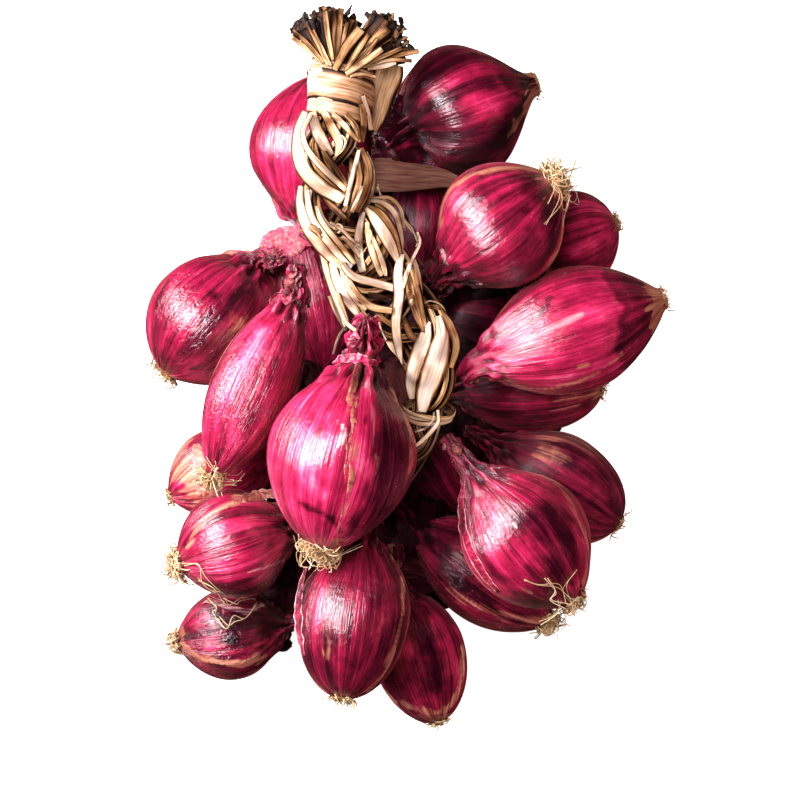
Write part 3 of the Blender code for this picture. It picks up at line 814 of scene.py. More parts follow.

# Marks on the skins: field, how much is added, half width in mm, the line in pixels, and for some the share
# of the width over which they keep their full strength. Some tone marks are painted shade on the sides away
# from the key lamp, some tone and pale marks are painted highlights on the lit sides, and rust marks along
# edges are partly painted rim light.
MARKS = {
    # The pale mark near the neck is a painted highlight on the lit side, and the darker tone along the
    # underside is painted shade.
    "top_right": (
        ("tone", -0.34, 9.0, ((518, 56), (528, 84), (522, 112), (508, 136))),
        ("dry", 0.60, 6.0, ((526, 62), (533, 84), (526, 108), (514, 128))),
        ("tone", 0.22, 6.0, ((470, 100), (490, 98), (502, 92))),
        ("pale", 0.30, 3.5, ((402, 104), (408, 122), (402, 140))),
        ("tone", -0.22, 8.0, ((410, 158), (440, 166), (475, 156), (500, 138))),
    ),
    # The darker tone along the underside and on the right side is painted shade away from the key lamp, and
    # the rust along the right edge is partly painted rim light.
    "right_upper": (
        ("dry", 0.55, 4.0, ((440, 222), (448, 192), (468, 176), (500, 170), (530, 168))),
        ("tone", -0.18, 8.0, ((465, 280), (495, 285), (530, 270), (556, 240))),
        ("pale", 0.55, 2.4, ((438, 232), (446, 258), (462, 276), (480, 284))),
        ("tone", -0.16, 9.0, ((535, 185), (552, 212), (553, 245), (535, 272))),
        ("rust", 0.55, 4.0, ((548, 180), (563, 215), (560, 255), (540, 282))),
    ),
    # The pale streak below the slit is a painted highlight, and the rust along the lower edge is partly
    # painted rim light.
    "right_long": (
        ("tone", -0.24, 18.5, ((640, 276), (652, 300), (648, 330)), 0.88),
        ("dry", 0.22, 18.5, ((640, 276), (652, 300), (648, 330)), 0.88),
        ("dry", 0.80, 5.5, ((650, 284), (660, 302), (654, 322))),
        ("dry", 0.50, 3.0, ((565, 272), (595, 266), (630, 268))),
        ("tone", -0.26, 1.8, ((497, 338), (515, 328), (530, 322), (548, 305))),
        ("pale", 0.40, 5.0, ((505, 350), (530, 338), (560, 325), (580, 318))),
        ("rust", 0.70, 3.0, ((470, 386), (520, 386), (580, 380), (620, 352))),
        ("dry", -0.30, 9.0, ((462, 372), (476, 364), (494, 352))),
        ("tone", 0.16, 8.0, ((462, 372), (476, 364), (494, 352))),
    ),
    "right_under": (
        ("dry", 0.20, 9.0, ((575, 398), (590, 392), (600, 385))),
        ("rust", 0.30, 8.0, ((560, 404), (580, 398), (600, 385))),
    ),
    "right_lower": (
        ("rust", 0.45, 9.0, ((545, 440), (570, 440), (590, 450))),
        ("dry", 0.20, 14.0, ((520, 450), (560, 450), (600, 480))),
        ("dry", 0.30, 6.0, ((540, 450), (560, 460))),
    ),
    # The darker tone on the right side is painted shade, the broad pale mark on the upper left is a painted
    # highlight, and the rust along the right edge is partly painted rim light.
    "front_right": (
        ("pale", 0.60, 1.2, ((455, 485), (452, 520), (466, 560), (490, 590))),
        ("tone", -0.26, 13.0, ((545, 515), (562, 550), (552, 585), (530, 604))),
        ("dry", 0.50, 3.0, ((524, 590), (530, 594))),
        ("rust", 0.40, 5.0, ((540, 470), (572, 505), (586, 545), (584, 580))),
        ("pale", 0.24, 6.0, ((488, 480), (494, 505), (505, 530))),
    ),
    # The lighter tone on the upper left is a painted highlight, and the rust along the lower edge is partly
    # painted rim light.
    "under_right": (
        ("rust", 0.50, 4.0, ((450, 590), (480, 608), (520, 618), (550, 622))),
        ("tone", -0.15, 8.0, ((420, 545), (440, 575), (470, 595))),
        ("tone", 0.22, 5.0, ((412, 530), (424, 545), (436, 562))),
    ),
    # The lighter tone on the left is a painted highlight, the darker tone right of it is painted shade, and
    # the rust round the right and lower edges is partly painted rim light.
    "bottom_right": (
        ("tone", 0.24, 5.0, ((384, 618), (394, 634), (400, 650))),
        ("tone", -0.20, 9.0, ((410, 600), (425, 640), (430, 680))),
        ("rust", 0.60, 4.0, ((385, 690), (410, 706), (440, 712), (458, 690), (462, 650))),
        ("dry", 0.35, 4.0, ((395, 706), (425, 716), (450, 716))),
    ),
    # The darker tone on the right side is painted shade, the lighter tone on the left is a painted highlight,
    # and the rust along the right and lower left edges is partly painted rim light.
    "bottom_front": (
        ("pale", 0.60, 2.6, ((306, 565), (300, 590), (296, 620), (298, 650))),
        ("dry", 0.40, 4.0, ((322, 630), (330, 645), (325, 655))),
        ("tone", -0.06, 8.0, ((375, 580), (382, 620), (372, 660))),
        ("rust", 0.55, 3.2, ((402, 580), (400, 620), (390, 660), (368, 690))),
        ("rust", 0.60, 3.5, ((295, 650), (305, 680), (320, 694))),
        ("tone", 0.16, 5.0, ((322, 570), (322, 600), (318, 625))),
        ("dry", 0.16, 12.0, ((380, 590), (372, 640), (350, 670))),
    ),
    # The darker tone on the right side is painted shade, the lighter tone on the left is a painted highlight,
    # and the rust along the right edge is partly painted rim light.
    "front_middle": (
        ("tone", -0.30, 14.0, ((388, 372), (398, 420), (394, 470), (378, 520)), 0.55),
        ("dry", 0.46, 3.6, ((372, 352), (358, 372), (352, 410), (350, 450), (347, 500), (342, 540))),
        ("pale", 0.30, 2.8, ((362, 362), (353, 380), (350, 420), (350, 455), (346, 490), (344, 540))),
        ("tone", -0.30, 1.8, ((300, 504), (318, 512), (332, 520), (340, 532))),
        ("tone", 0.18, 7.0, ((300, 400), (305, 440), (308, 480))),
        ("dry", 0.16, 10.0, ((372, 390), (384, 440), (376, 500))),
        ("pale", 0.45, 1.6, ((338, 420), (344, 432), (340, 446))),
        ("rust", 0.45, 3.5, ((402, 400), (410, 440), (402, 490))),
        ("tone", -0.20, 5.0, ((362, 385), (375, 380))),
        ("pale", 0.30, 3.0, ((372, 405), (374, 425), (372, 445))),
        ("dry", 0.34, 2.4, ((368, 450), (378, 462), (374, 478))),
    ),
    # The darker tone on the right side is painted shade, the lighter tone and pale mark on the left are
    # painted highlight, and the rust along the left edge is partly painted rim light.
    "left_long": (
        ("tone", -0.22, 7.0, ((315, 320), (312, 360), (285, 420), (262, 450))),
        ("tone", 0.14, 6.0, ((262, 330), (246, 370), (232, 410), (225, 440))),
        ("pale", 0.26, 4.0, ((250, 360), (236, 395), (224, 430), (214, 452))),
        ("rust", 0.50, 3.0, ((225, 350), (207, 390), (202, 430))),
        ("tone", -0.30, 4.0, ((298, 275), (296, 262))),
    ),
    # The darker tone on the right side is painted shade, the pale mark on the left is a painted highlight, and
    # the rust along the upper edge is partly painted rim light.
    "left_upper": (
        ("tone", -0.26, 9.0, ((250, 300), (245, 320), (225, 345), (215, 370))),
        ("dry", 0.40, 5.0, ((233, 312), (240, 325), (228, 335))),
        ("pale", 0.28, 5.0, ((182, 300), (190, 315), (186, 332))),
        ("rust", 0.40, 5.0, ((160, 290), (180, 262), (215, 248), (245, 252))),
        ("dry", 0.50, 4.0, ((148, 350), (156, 368), (168, 380))),
    ),
    "left_inner": (
        ("pale", 0.35, 9.0, ((288, 235), (298, 244))),
        ("rust", 0.60, 9.0, ((286, 226), (294, 240))),
    ),
    # The two darker tones on the right and lower side are painted shade, the broad pale mark on the upper left
    # is a painted highlight, and the rust along the upper edge is partly tan torn skin and partly painted rim
    # light.
    "left_lower": (
        ("dry", 0.55, 3.5, ((232, 505), (255, 495), (280, 492))),
        ("rust", 0.70, 3.5, ((188, 545), (205, 520), (230, 503), (262, 493))),
        ("tone", -0.30, 8.0, ((215, 590), (250, 590), (285, 575))),
        ("tone", -0.18, 6.0, ((270, 510), (292, 535), (295, 560))),
        ("pale", 0.42, 1.8, ((248, 572), (265, 568), (284, 560))),
        ("pale", 0.28, 6.0, ((212, 545), (232, 532), (255, 520))),
    ),
    "left_under": (
        ("rust", 0.70, 12.0, ((180, 460), (190, 480), (205, 500))),
        ("tone", 0.10, 8.0, ((200, 495), (215, 505))),
    ),
    # The rust along the lower edge is partly painted rim light.
    "bottom_left": (
        ("pale", 0.52, 2.4, ((205, 602), (225, 606), (245, 612), (262, 606))),
        ("tone", -0.30, 9.0, ((235, 625), (262, 620), (280, 605))),
        ("rust", 0.72, 3.6, ((190, 650), (215, 662), (250, 662), (285, 640))),
        ("dry", 0.45, 3.6, ((182, 632), (186, 648), (200, 660))),
        ("tone", 0.16, 6.0, ((190, 610), (200, 630), (212, 640))),
    ),
}

# How far round from straight up a skin starts to rust, and where it has rusted. This rust on the sides is
# partly painted rim light, the warm light round the edges that the camera sees edge on.
RUST_AND_RIM_FROM, RUST_AND_RIM_FULLY = math.radians(62), math.radians(100)
bulbs = {}


def onion(number, name):
    """The papery skin of one onion, with its marks."""
    tone, ribs, dents, folds, dryness, rust_and_rim_amount, _, _ = FINISHES[name]
    rows, columns = COARSE_GRID if name in COARSE else FINE_GRID
    bulb = Bulb(name, rows, columns, 100 + number)
    bulb.crease(ribs, dents, folds)
    neck, foot = bulb.neck[:, None], bulb.foot[:, None]
    plain = np.zeros((rows, columns))
    away = np.abs(np.mod(bulb.turn + math.pi, TAU) - math.pi)
    fields = {
        # Necks are darker, partly drier skin and partly painted shade where they lie deep in the string;
        # relief paints shade in the grooves of the folds and light on their ridges.
        "tone": tone - 0.14 * neck - 0.04 * foot + 0.16 * bulb.relief,
        "dry": dryness + 0.30 * foot + 0.22 * neck + plain,
        "pale": plain,
        # The sides turned away from straight up are rusted: partly rust, partly painted rim light.
        "rust": rust_and_rim_amount * ease(away, RUST_AND_RIM_FROM, RUST_AND_RIM_FULLY) * (1 - 0.6 * neck) + 0.2 * foot,
        "seed": number + 1.0 + plain,
        "crinkled": CRINKLED.get(name, MOSTLY_CRINKLED) + 0.5 * neck + plain,
    }
    for field, amount, width, pixels, *soft in MARKS.get(name, ()):
        fields[field] = fields[field] + amount * bulb.stroke(pixels, width, *soft)
    bulb.heap = Heap()
    bulb.add_to(bulb.heap, **fields)
    look = DULL_SKIN if name in DULL else SKIN
    bulb.heap.piece("onion_" + name, look, "onion_skin", ["bulb_" + name])
    bulbs[name] = bulb


for number, name in enumerate(FINISHES):
    onion(number, name)

# The root plate: how many points round it, and height in mm and share of its width at each of its rings.
PLATE_POINTS = 20
PLATE_RINGS = ((-0.4, 0.98), (0.2, 1.06), (0.9, 0.95), (1.5, 0.55), (1.7, 0.15))

# Steps along a rootlet, how likely it bends another way at each, and the length in mm from which rootlets curl
# back home.
ROOTLET_STEPS = 10
TURN_CHANCE = 0.22
LONG_ROOTLETS = 5


def root_tuft(name, count, length):
    """The root plate and the curled dry rootlets at an onion's root end."""
    bulb = bulbs[name]
    chance = np.random.RandomState(len(name) * 7 + count)
    heap = Heap()
    out = -bulb.axis
    one = unit(np.cross(out, (0.2, 0.3, 1.0)))
    two = np.cross(out, one)
    foot = bulb.skin[0, 0]
    home, pull = foot + out * 1.2, 0.9 if length > LONG_ROOTLETS else 0.25
    width = bulb.radius * ROOT_SHARE
    ray = spokes(one, two, round_turns(PLATE_POINTS))
    rings = []
    for lift, share in PLATE_RINGS:
        jitter = chance.uniform(0.86, 1.14, PLATE_POINTS)[:, None]
        rings.append(foot + out * lift + ray * width * share * jitter)
    add_tube(heap, np.array(rings), tone=0.15)
    for _ in range(count):
        angle, spread = chance.uniform(0, TAU), math.sqrt(chance.uniform(0, 1))
        ray = one * math.cos(angle) + two * math.sin(angle)
        place = foot + out * 0.5 + ray * width * spread * 1.5
        heading = unit(out * chance.uniform(0.0, 0.7) + ray * spread * 1.2 + chance.normal(0, 0.45, 3))
        bend = chance.normal(0, 1, 3)
        reach = length * chance.uniform(0.35, 1.3)
        line = [place]
        for _ in range(ROOTLET_STEPS):
            heading = unit(heading + bend * 0.48 + (home - place) * pull / length + chance.normal(0, 0.12, 3))
            if chance.uniform() < TURN_CHANCE:
                bend = chance.normal(0, 1, 3)
            place = place + heading * reach / ROOTLET_STEPS
            place = place * (1, 1, 0) + (0, 0, max(0.3, place[2]))
            line.append(place)
        radius = np.linspace(0.30, 0.15, len(line)) * chance.uniform(0.8, 1.3)
        shade = chance.uniform(0.2, 1.05)
        thread(heap, np.array(line), radius, 4, tone=np.linspace(shade * 0.6, shade, len(line)))
    heap.piece("rootlets_" + name, FIBRE, "root_fibre", ["roots_" + name])


for name, row in FINISHES.items():
    root_tuft(name, *row[6:])

# Crumpled flakes of skin at the necks: onion, how many, length in mm, tone, shares of the way to the tip.
NECK_FLAKES = (
    ("front_middle", 16, 6.0, 0.62, (0.84, 0.97)), ("left_long", 34, 8.5, 0.44, (0.86, 0.99)),
    ("front_right", 9, 4.5, 0.30, (0.84, 0.99)), ("left_upper", 18, 7.0, 0.34, (0.90, 0.99)),
    ("left_lower", 8, 5.0, 0.36, (0.88, 0.99)), ("right_upper", 6, 4.5, 0.35, (0.92, 0.99)),
    ("right_long", 3, 3.0, 0.50, (0.92, 0.99)), ("bottom_front", 10, 5.0, 0.35, (0.85, 0.98)),
    ("bottom_right", 8, 5.0, 0.30, (0.85, 0.98)), ("top_right", 3, 3.0, 0.26, (0.94, 0.99)),
)


def neck_flakes(name, count, size, tone, shares):
    """Torn bits of dry skin that stand off a neck."""
    bulb = bulbs[name]
    chance = np.random.RandomState(900 + len(name) + count)
    heap = Heap()
    t = np.linspace(0, 1, 9)
    for _ in range(count):
        turn, share = chance.uniform(0, TAU), chance.uniform(*shares)
        reach = size * chance.uniform(0.5, 1.2) / bulb.length * chance.choice((-1, 1), p=(0.65, 0.35))
        twist = chance.uniform(-0.8, 0.8)
        curl = chance.uniform(0.6, 2.4)
        line = bulb.at(turn + twist * t, np.clip(share + reach * t, 0, 1), 0.15 + curl * t ** 1.6)
        half = chance.uniform(0.9, 2.2) * np.sin(0.5 + 2.5 * t) ** 0.7
        facing = line[4] - bulb.at(turn, share, -4.0)
        bow = half * chance.uniform(-0.3, 0.6)
        leaf(heap, line, facing, half, 0.25, bow=bow, ridges=0.12, chance=chance, points=7,
             scale=bulb.radius * 0.5, tone=tone + chance.uniform(-0.25, 0.35), dry=chance.choice((0.0, 0.5)),
             pale=chance.choice((0.0, 0.0, 0.4)), rust=0.0, crinkled=0.8, seed=chance.uniform(0, 9))
    heap.piece("flakes_" + name, SKIN, "onion_skin")


for row in NECK_FLAKES:
    neck_flakes(*row)


def ray_tree(heaps):
    """A tree of the faces of heaps, to find what lies below a pixel."""
    points, faces, count = [], [], 0
    for heap in heaps:
        points += np.vstack(heap.points).tolist()
        faces += [tuple(i + count for i in face) for face in heap.faces]
        count += heap.count
    return BVHTree.FromPolygons(points, faces)


def depths(tree, pixels, beyond):
    """Ways from the eye to pixels and how far off the first surface lies, or beyond where there is none."""
    ways = unit(pixel_to_plane(pixels[:, 0], pixels[:, 1], 0.0) - EYE)
    found = np.full(len(pixels), float(beyond))
    for i, way in enumerate(ways):
        hit = tree.ray_cast(Vector(EYE), Vector(way))
        if hit[0] is not None:
            found[i] = hit[3]
    return ways, found


# How often the edge of a draped leaf is evened out.
EDGE_ROUNDS = 6


def beside_misses(found, beyond):
    """Distances in which each miss takes the farthest hit of its own row, or of the nearest row with one."""
    hit = found < beyond - 0.001
    rows = np.flatnonzero(hit.any(1))
    if not len(rows):
        return found
    edge = np.where(hit, found, 0.0).max(1)
    edge = edge[rows[np.argmin(np.abs(np.arange(len(found))[:, None] - rows[None]), axis=1)]]
    for _ in range(EDGE_ROUNDS):
        wide = np.pad(edge, 1, mode="edge")
        edge = (wide[:-2] + edge + wide[2:]) / 3
    return np.where(hit, found, edge[:, None])


def neighbours(table):
    """The sum of the four values beside each value of a table."""
    wide = np.pad(table, 1, mode="edge")
    return wide[:-2, 1:-1] + wide[2:, 1:-1] + wide[1:-1, :-2] + wide[1:-1, 2:]


# The least half width of a draped leaf in pixels, and the height of its unevenness in mm.
NARROWEST = 0.25
DRAPE_RELIEF = 0.12


def draped(heap, tree, rows, lift, chance, thickness=0.3, steps=24, points=9, bow=0.3, ragged=0.0, scale=1.0,
           rim=0.0, low=40.0, smooth=5, drop=0.0, **fields):
    """Adds a leaf that lies on what is below it. rows give its middle and half width in pixels.

    Past the edge of what is below, it stands out at the height of that edge. With drop given, it falls no
    more than drop mm below its highest point.
    """
    rows = np.asarray(rows, float)
    line = curve(np.column_stack([rows[:, :2], np.zeros(len(rows)), rows[:, 2]]), steps)
    way = unit(np.gradient(line[:, :2], axis=0))
    aside = np.stack([-way[:, 1], way[:, 0]], 1)
    w = np.linspace(-1, 1, points)
    t = np.linspace(0, 1, steps)
    width = np.maximum(line[:, 3:4], NARROWEST)
    half = width * np.ones(points)[None]
    if ragged:
        tears = Waves(chance, (1, 3), (2.0, 9.0), 10)
        half = half * (1 + ragged * 0.4 * tears(w, t[:, None]))
    spots = line[:, None, :2] + aside[:, None] * (half * w)[..., None]
    ways, found = depths(tree, spots.reshape(-1, 2), CAMERA_HEIGHT - low)
    found = beside_misses(found.reshape(steps, points), CAMERA_HEIGHT - low)
    if drop:
        found = np.minimum(found, found.min(1, keepdims=True) + 0.5 * drop)
        found = np.minimum(found, found.min() + drop)
    for _ in range(smooth):
        found = np.minimum(found, (neighbours(found) + found) / 5)
    found = (neighbours(found) + 2 * found) / 6
    relief = Waves(chance, (2, 5), (0.5, 3.0), 7)(w, t[:, None])
    found = found - lift - bow * (1 - w ** 2) - DRAPE_RELIEF * relief
    ways = ways.reshape(steps, points, 3)
    top, under = EYE + ways * found[..., None], EYE + ways * (found + thickness)[..., None]
    if rim:
        edge = np.tile(np.abs(both_sides(w)), steps)
        fields["pale"] = fields.get("pale", 0.0) + rim * edge ** 4
    reach = lengths_along(line[:, :2]) * PIXEL
    seed = fields.setdefault("seed", 0.0)
    add_sheet(heap, top, under, w, width * PIXEL, reach, seed, scale, **fields)


# The strands: where they end under the tie, steps along each, its leaves and their thickness in mm, and how
# far the grain runs.
PLAIT_TOP = np.array((-26.0, 112.0, 60.0))
STRAND_STEPS = 120
STRAND_LEAVES = 9
STRAND_SHEET = 0.45
STRAND_GRAIN = 230


def plait_strand(name, seed):
    """A bundle of overlapping dry leaves wound along a strand's solid."""
    chance = np.random.RandomState(seed)
    rings = rings_of(name, PLAIT_TOP)
    centres = rings.mean(1)
    radius = np.linalg.norm(rings - centres[:, None], axis=2).mean(1)
    line = curve(np.column_stack([centres, radius]), STRAND_STEPS)
    radius, line = line[:, 3], line[:, :3]
    _, out, side = frames(line, UP)
    heap = Heap()
    along = np.linspace(0, 1, len(line))
    # A dark core inside the leaves, painted shade in the gaps between them.
    core = line[:, None] + spokes(out, side, round_turns(12)) * (radius * 0.70)[:, None, None]
    add_tube(heap, core, grain=np.zeros(core.shape), edge=0.5, tone=0.0, burnt=0.9)
    for j in range(STRAND_LEAVES):
        start = TAU * j / STRAND_LEAVES + chance.uniform(-0.2, 0.2)
        drift = Waves(chance, (0, 0), (0.5, 3.0), 5)
        angle = start + 0.9 * along + 0.22 * drift(0.0, along)
        half = chance.uniform(0.22, 0.42)
        w = np.linspace(-1, 1, 7)
        theta = angle[:, None] + half * w
        ripple = Waves(chance, (2, 7), (1.0, 6.0), 9)
        rise = radius[:, None] * (0.88 + 0.10 * w * chance.choice((-1, 1)) + 0.07 * (j % 2))
        rise = rise + 0.22 * ripple(w * 1.6, along[:, None]) + 0.25 * (1 - w ** 2)
        ray = spokes(out, side, theta)
        top = line[:, None] + ray * rise[..., None]
        under = line[:, None] + ray * (rise - STRAND_SHEET)[..., None]
        add_sheet(heap, top, under, w, half * radius[:, None], along * STRAND_GRAIN, seed + j * 1.7,
                  tone=chance.uniform(0.10, 0.80), burnt=0.0)
    heap.piece("straw_" + name, STRAW, "dried_leaf", [name])
    return heap


strands = [plait_strand("plait_strand_" + letter, 40 + number) for number, letter in enumerate("abc")]

# SHIFT carries the straw by the tie and the low loop to where the solids have it.
SHIFT = np.array((-1.6, 3.9, 0.0))

# The tie's lower and upper end, and each turn's share of the way between them, radius and half width in mm.
TIE_FOOT = np.array((-25.6, 95.2, 61.2)) + SHIFT
TIE_HEAD = np.array((-24.0, 115.6, 60.0)) + SHIFT
TIE_TURNS = ((0.17, 12.1, 5.2), (0.52, 12.7, 6.0), (0.80, 12.2, 4.4))
TIE_STEPS = 110
TIE_SHEET = 0.5


def tie_band():
    """Three turns of one broad leaf round the strands."""
    chance = np.random.RandomState(7)
    axis = unit(TIE_HEAD - TIE_FOOT)
    out, side = upright(axis)
    heap = Heap()
    w = np.linspace(-1, 1, 11)
    t = np.linspace(0, 1, TIE_STEPS)[:, None]
    for number, (share, radius, half) in enumerate(TIE_TURNS):
        angle = np.linspace(0, TAU * 1.12, TIE_STEPS) + chance.uniform(2.2, 4.0)
        wobble = Waves(chance, (1, 4), (0.5, 1.0), 5)
        base = TIE_FOOT + (TIE_HEAD - TIE_FOOT) * share
        ripple = Waves(chance, (1, 5), (1.0, 7.0), 8)
        rise = radius + 0.5 * t + 0.16 * ripple(w * 1.4, t) - 0.35 * np.abs(w) ** 4
        rise = rise + 0.15 * wobble(angle, 0)[:, None]
        height = half * w + (0.3 * wobble(angle, 0.3) - 2.0 * np.sin(angle))[:, None]
        ray = spokes(out, side, angle)
        top = base + ray[:, None] * rise[..., None] + axis * height[..., None]
        under = base + ray[:, None] * (rise - TIE_SHEET)[..., None] + axis * height[..., None]
        # Lighter on the left, the side that the key lamp lights, and darker on the right: painted light and
        # shade.
        tone = np.repeat(0.66 - 0.26 * np.sin(angle + 0.3), 2 * len(w))
        add_sheet(heap, top, under, w, half, angle * radius, number * 2.3, tone=tone, burnt=0.0)
    heap.piece("tie_wraps", WRAPS, "tie_leaf", ["tie_band"])
    return heap


tie = tie_band()

# The bunches of cut leaves in mm: foot, middle and end, half sizes of foot and end, how much the middle
# rises, and how many leaves. Each bunch also has short curled ends.
CUT_BUNCHES = {
    "cut_ends_left": (
        (-28.6, 110.4, 60.5), (-28.6, 117.0, 60.8), (-30.2, 131.5, 63.0), (3.6, 6.2), (14.6, 9.5), 7.5, 46,
    ),
    "cut_ends_right": (
        (-19.3, 110.2, 60.0), (-18.6, 117.0, 59.6), (-4.4, 128.5, 57.5), (3.4, 6.8), (11.5, 8.5), 3.5, 40,
    ),
}
CURLED_ENDS = 90


def cut_bunch(name, row, seed):
    """Dry leaves that fan out above the tie and are cut across, dark at their ends."""
    chance = np.random.RandomState(seed)
    foot, middle, end, foot_size, end_size, rise, count = row
    spine = curve([np.array(p) + SHIFT for p in (foot, middle, end)], 24)
    tangent, out, side = frames(spine, UP)
    spread = np.linspace(0, 1, len(spine)) ** 1.5
    width = foot_size[0] + (end_size[0] - foot_size[0]) * spread
    depth = foot_size[1] + (end_size[1] - foot_size[1]) * spread
    heap = Heap()
    for k in range(count):
        angle, deep = chance.uniform(0, TAU), chance.uniform(0.1, 0.98) ** 0.6
        lift = rise * (math.cos(angle) ** 2) * spread * deep + rise * (1 - deep) * 0.2 * spread
        cut = chance.uniform(0.84, 1.0)
        line = spine + out * (depth * math.cos(angle) * deep)[:, None]
        line = line + side * (width * math.sin(angle) * deep)[:, None] + tangent * lift[:, None]
        line = curve(line[: max(6, int(cut * len(line)))], 18)
        facing = unit(out[12] * math.cos(angle) + side[12] * math.sin(angle) + chance.normal(0, 0.6, 3))
        half = np.linspace(0.9, chance.uniform(2.0, 4.4), len(line))
        start = chance.uniform(0.25, 0.75)
        burnt = ease(np.linspace(0, 1, len(line)), start, start + 0.35) * chance.uniform(0.2, 0.8)
        leaf(heap, line, facing, half, 0.5, bow=half * chance.uniform(-0.7, 0.9), ridges=0.2, chance=chance,
             points=7, tone=chance.uniform(0.15, 0.75), burnt=burnt, seed=k * 1.3)
    t = np.linspace(-0.5, 0.5, 10)[:, None]
    tangent, out, side = tangent[-1], out[-1], side[-1]
    for k in range(CURLED_ENDS):
        angle, deep = chance.uniform(0, TAU), chance.uniform(0, 1) ** 0.5
        place = spine[-1] + out * end_size[1] * 0.95 * math.cos(angle) * deep
        place = place + side * end_size[0] * 0.97 * math.sin(angle) * deep
        place = place + tangent * (rise * math.cos(angle) ** 2 * deep - chance.uniform(0.5, 4.0))
        heading = unit(side * chance.normal(0, 1) + out * chance.normal(0, 0.8) + tangent * 0.8)
        bend = chance.normal(0, 1, 3)
        reach = chance.uniform(3.0, 6.5)
        line = place + heading * reach * t + bend * reach * 0.5 * t ** 2
        half = chance.uniform(0.7, 1.9) * np.sin(np.linspace(0.5, math.pi - 0.5, 10))
        leaf(heap, line, bend + tangent, half, 0.4, bow=half * chance.uniform(-0.8, 0.8), ridges=0.3,
             chance=chance, points=6, tone=chance.uniform(0.1, 0.55), burnt=chance.uniform(0.0, 0.45),
             seed=k * 1.7)
    heap.piece("leaves_" + name, CUT, "cut_leaf", [name])
    return heap


bunches = [cut_bunch(name, row, 60 + number) for number, (name, row) in enumerate(CUT_BUNCHES.items())]

# The leaf beside the tie, as places and half width in mm.
PAPERY_LEAF = (
    (-12.5, 91.0, 52.5, 2.0), (-11.0, 98.0, 50.5, 4.6), (-9.2, 106.0, 50.0, 5.8),
    (-6.8, 113.0, 50.0, 6.4), (-5.4, 117.5, 50.5, 5.2),
)


def beside_tie():
    """The broad papery leaf that hangs beside the tie."""
    line = curve(np.array(PAPERY_LEAF) + (*SHIFT, 0.0), 40)
    heap = Heap()
    chance = np.random.RandomState(3)
    leaf(heap, line[:, :3], (0.25, 0, 1), line[:, 3], 0.5, bow=1.4, ridges=0.35, chance=chance, points=13,
         tone=0.72, burnt=0.0)
    heap.piece("papery_leaf", BAND, "dried_leaf", ["loose_leaf"])


beside_tie()

# The strips round the plait's low end: their middle, the way they are wound round, and their radius in mm.
BINDING_CENTRE = np.array((9.3, -17.5, 50.8)) + SHIFT
BINDING_AXIS = unit((0.12, 1.0, 0.42))
BINDING_RADIUS = 9.2


def binding_loop():
    """Thin strips of leaf wound round the plait's low end."""
    out, side = upright(BINDING_AXIS)
    chance = np.random.RandomState(11)
    heap = Heap()
    for k in range(4):
        angle = np.linspace(0, TAU * 1.05, 60) + chance.uniform(0, TAU)
        ray = spokes(out, side, angle)
        aside = chance.uniform(-1.6, 1.6) + 0.5 * np.sin(angle * 2 + k)
        line = BINDING_CENTRE + ray * (BINDING_RADIUS + 0.25 * k) + BINDING_AXIS * aside[:, None]
        leaf(heap, line, ray, chance.uniform(0.7, 1.3), 0.4, bow=0.2, points=7, tone=chance.uniform(0.5, 1.0),
             burnt=0.0, seed=k * 1.1)
    heap.piece("binding_strips", BAND, "tie_leaf", ["plait_binding"])
    return heap


binding = binding_loop()

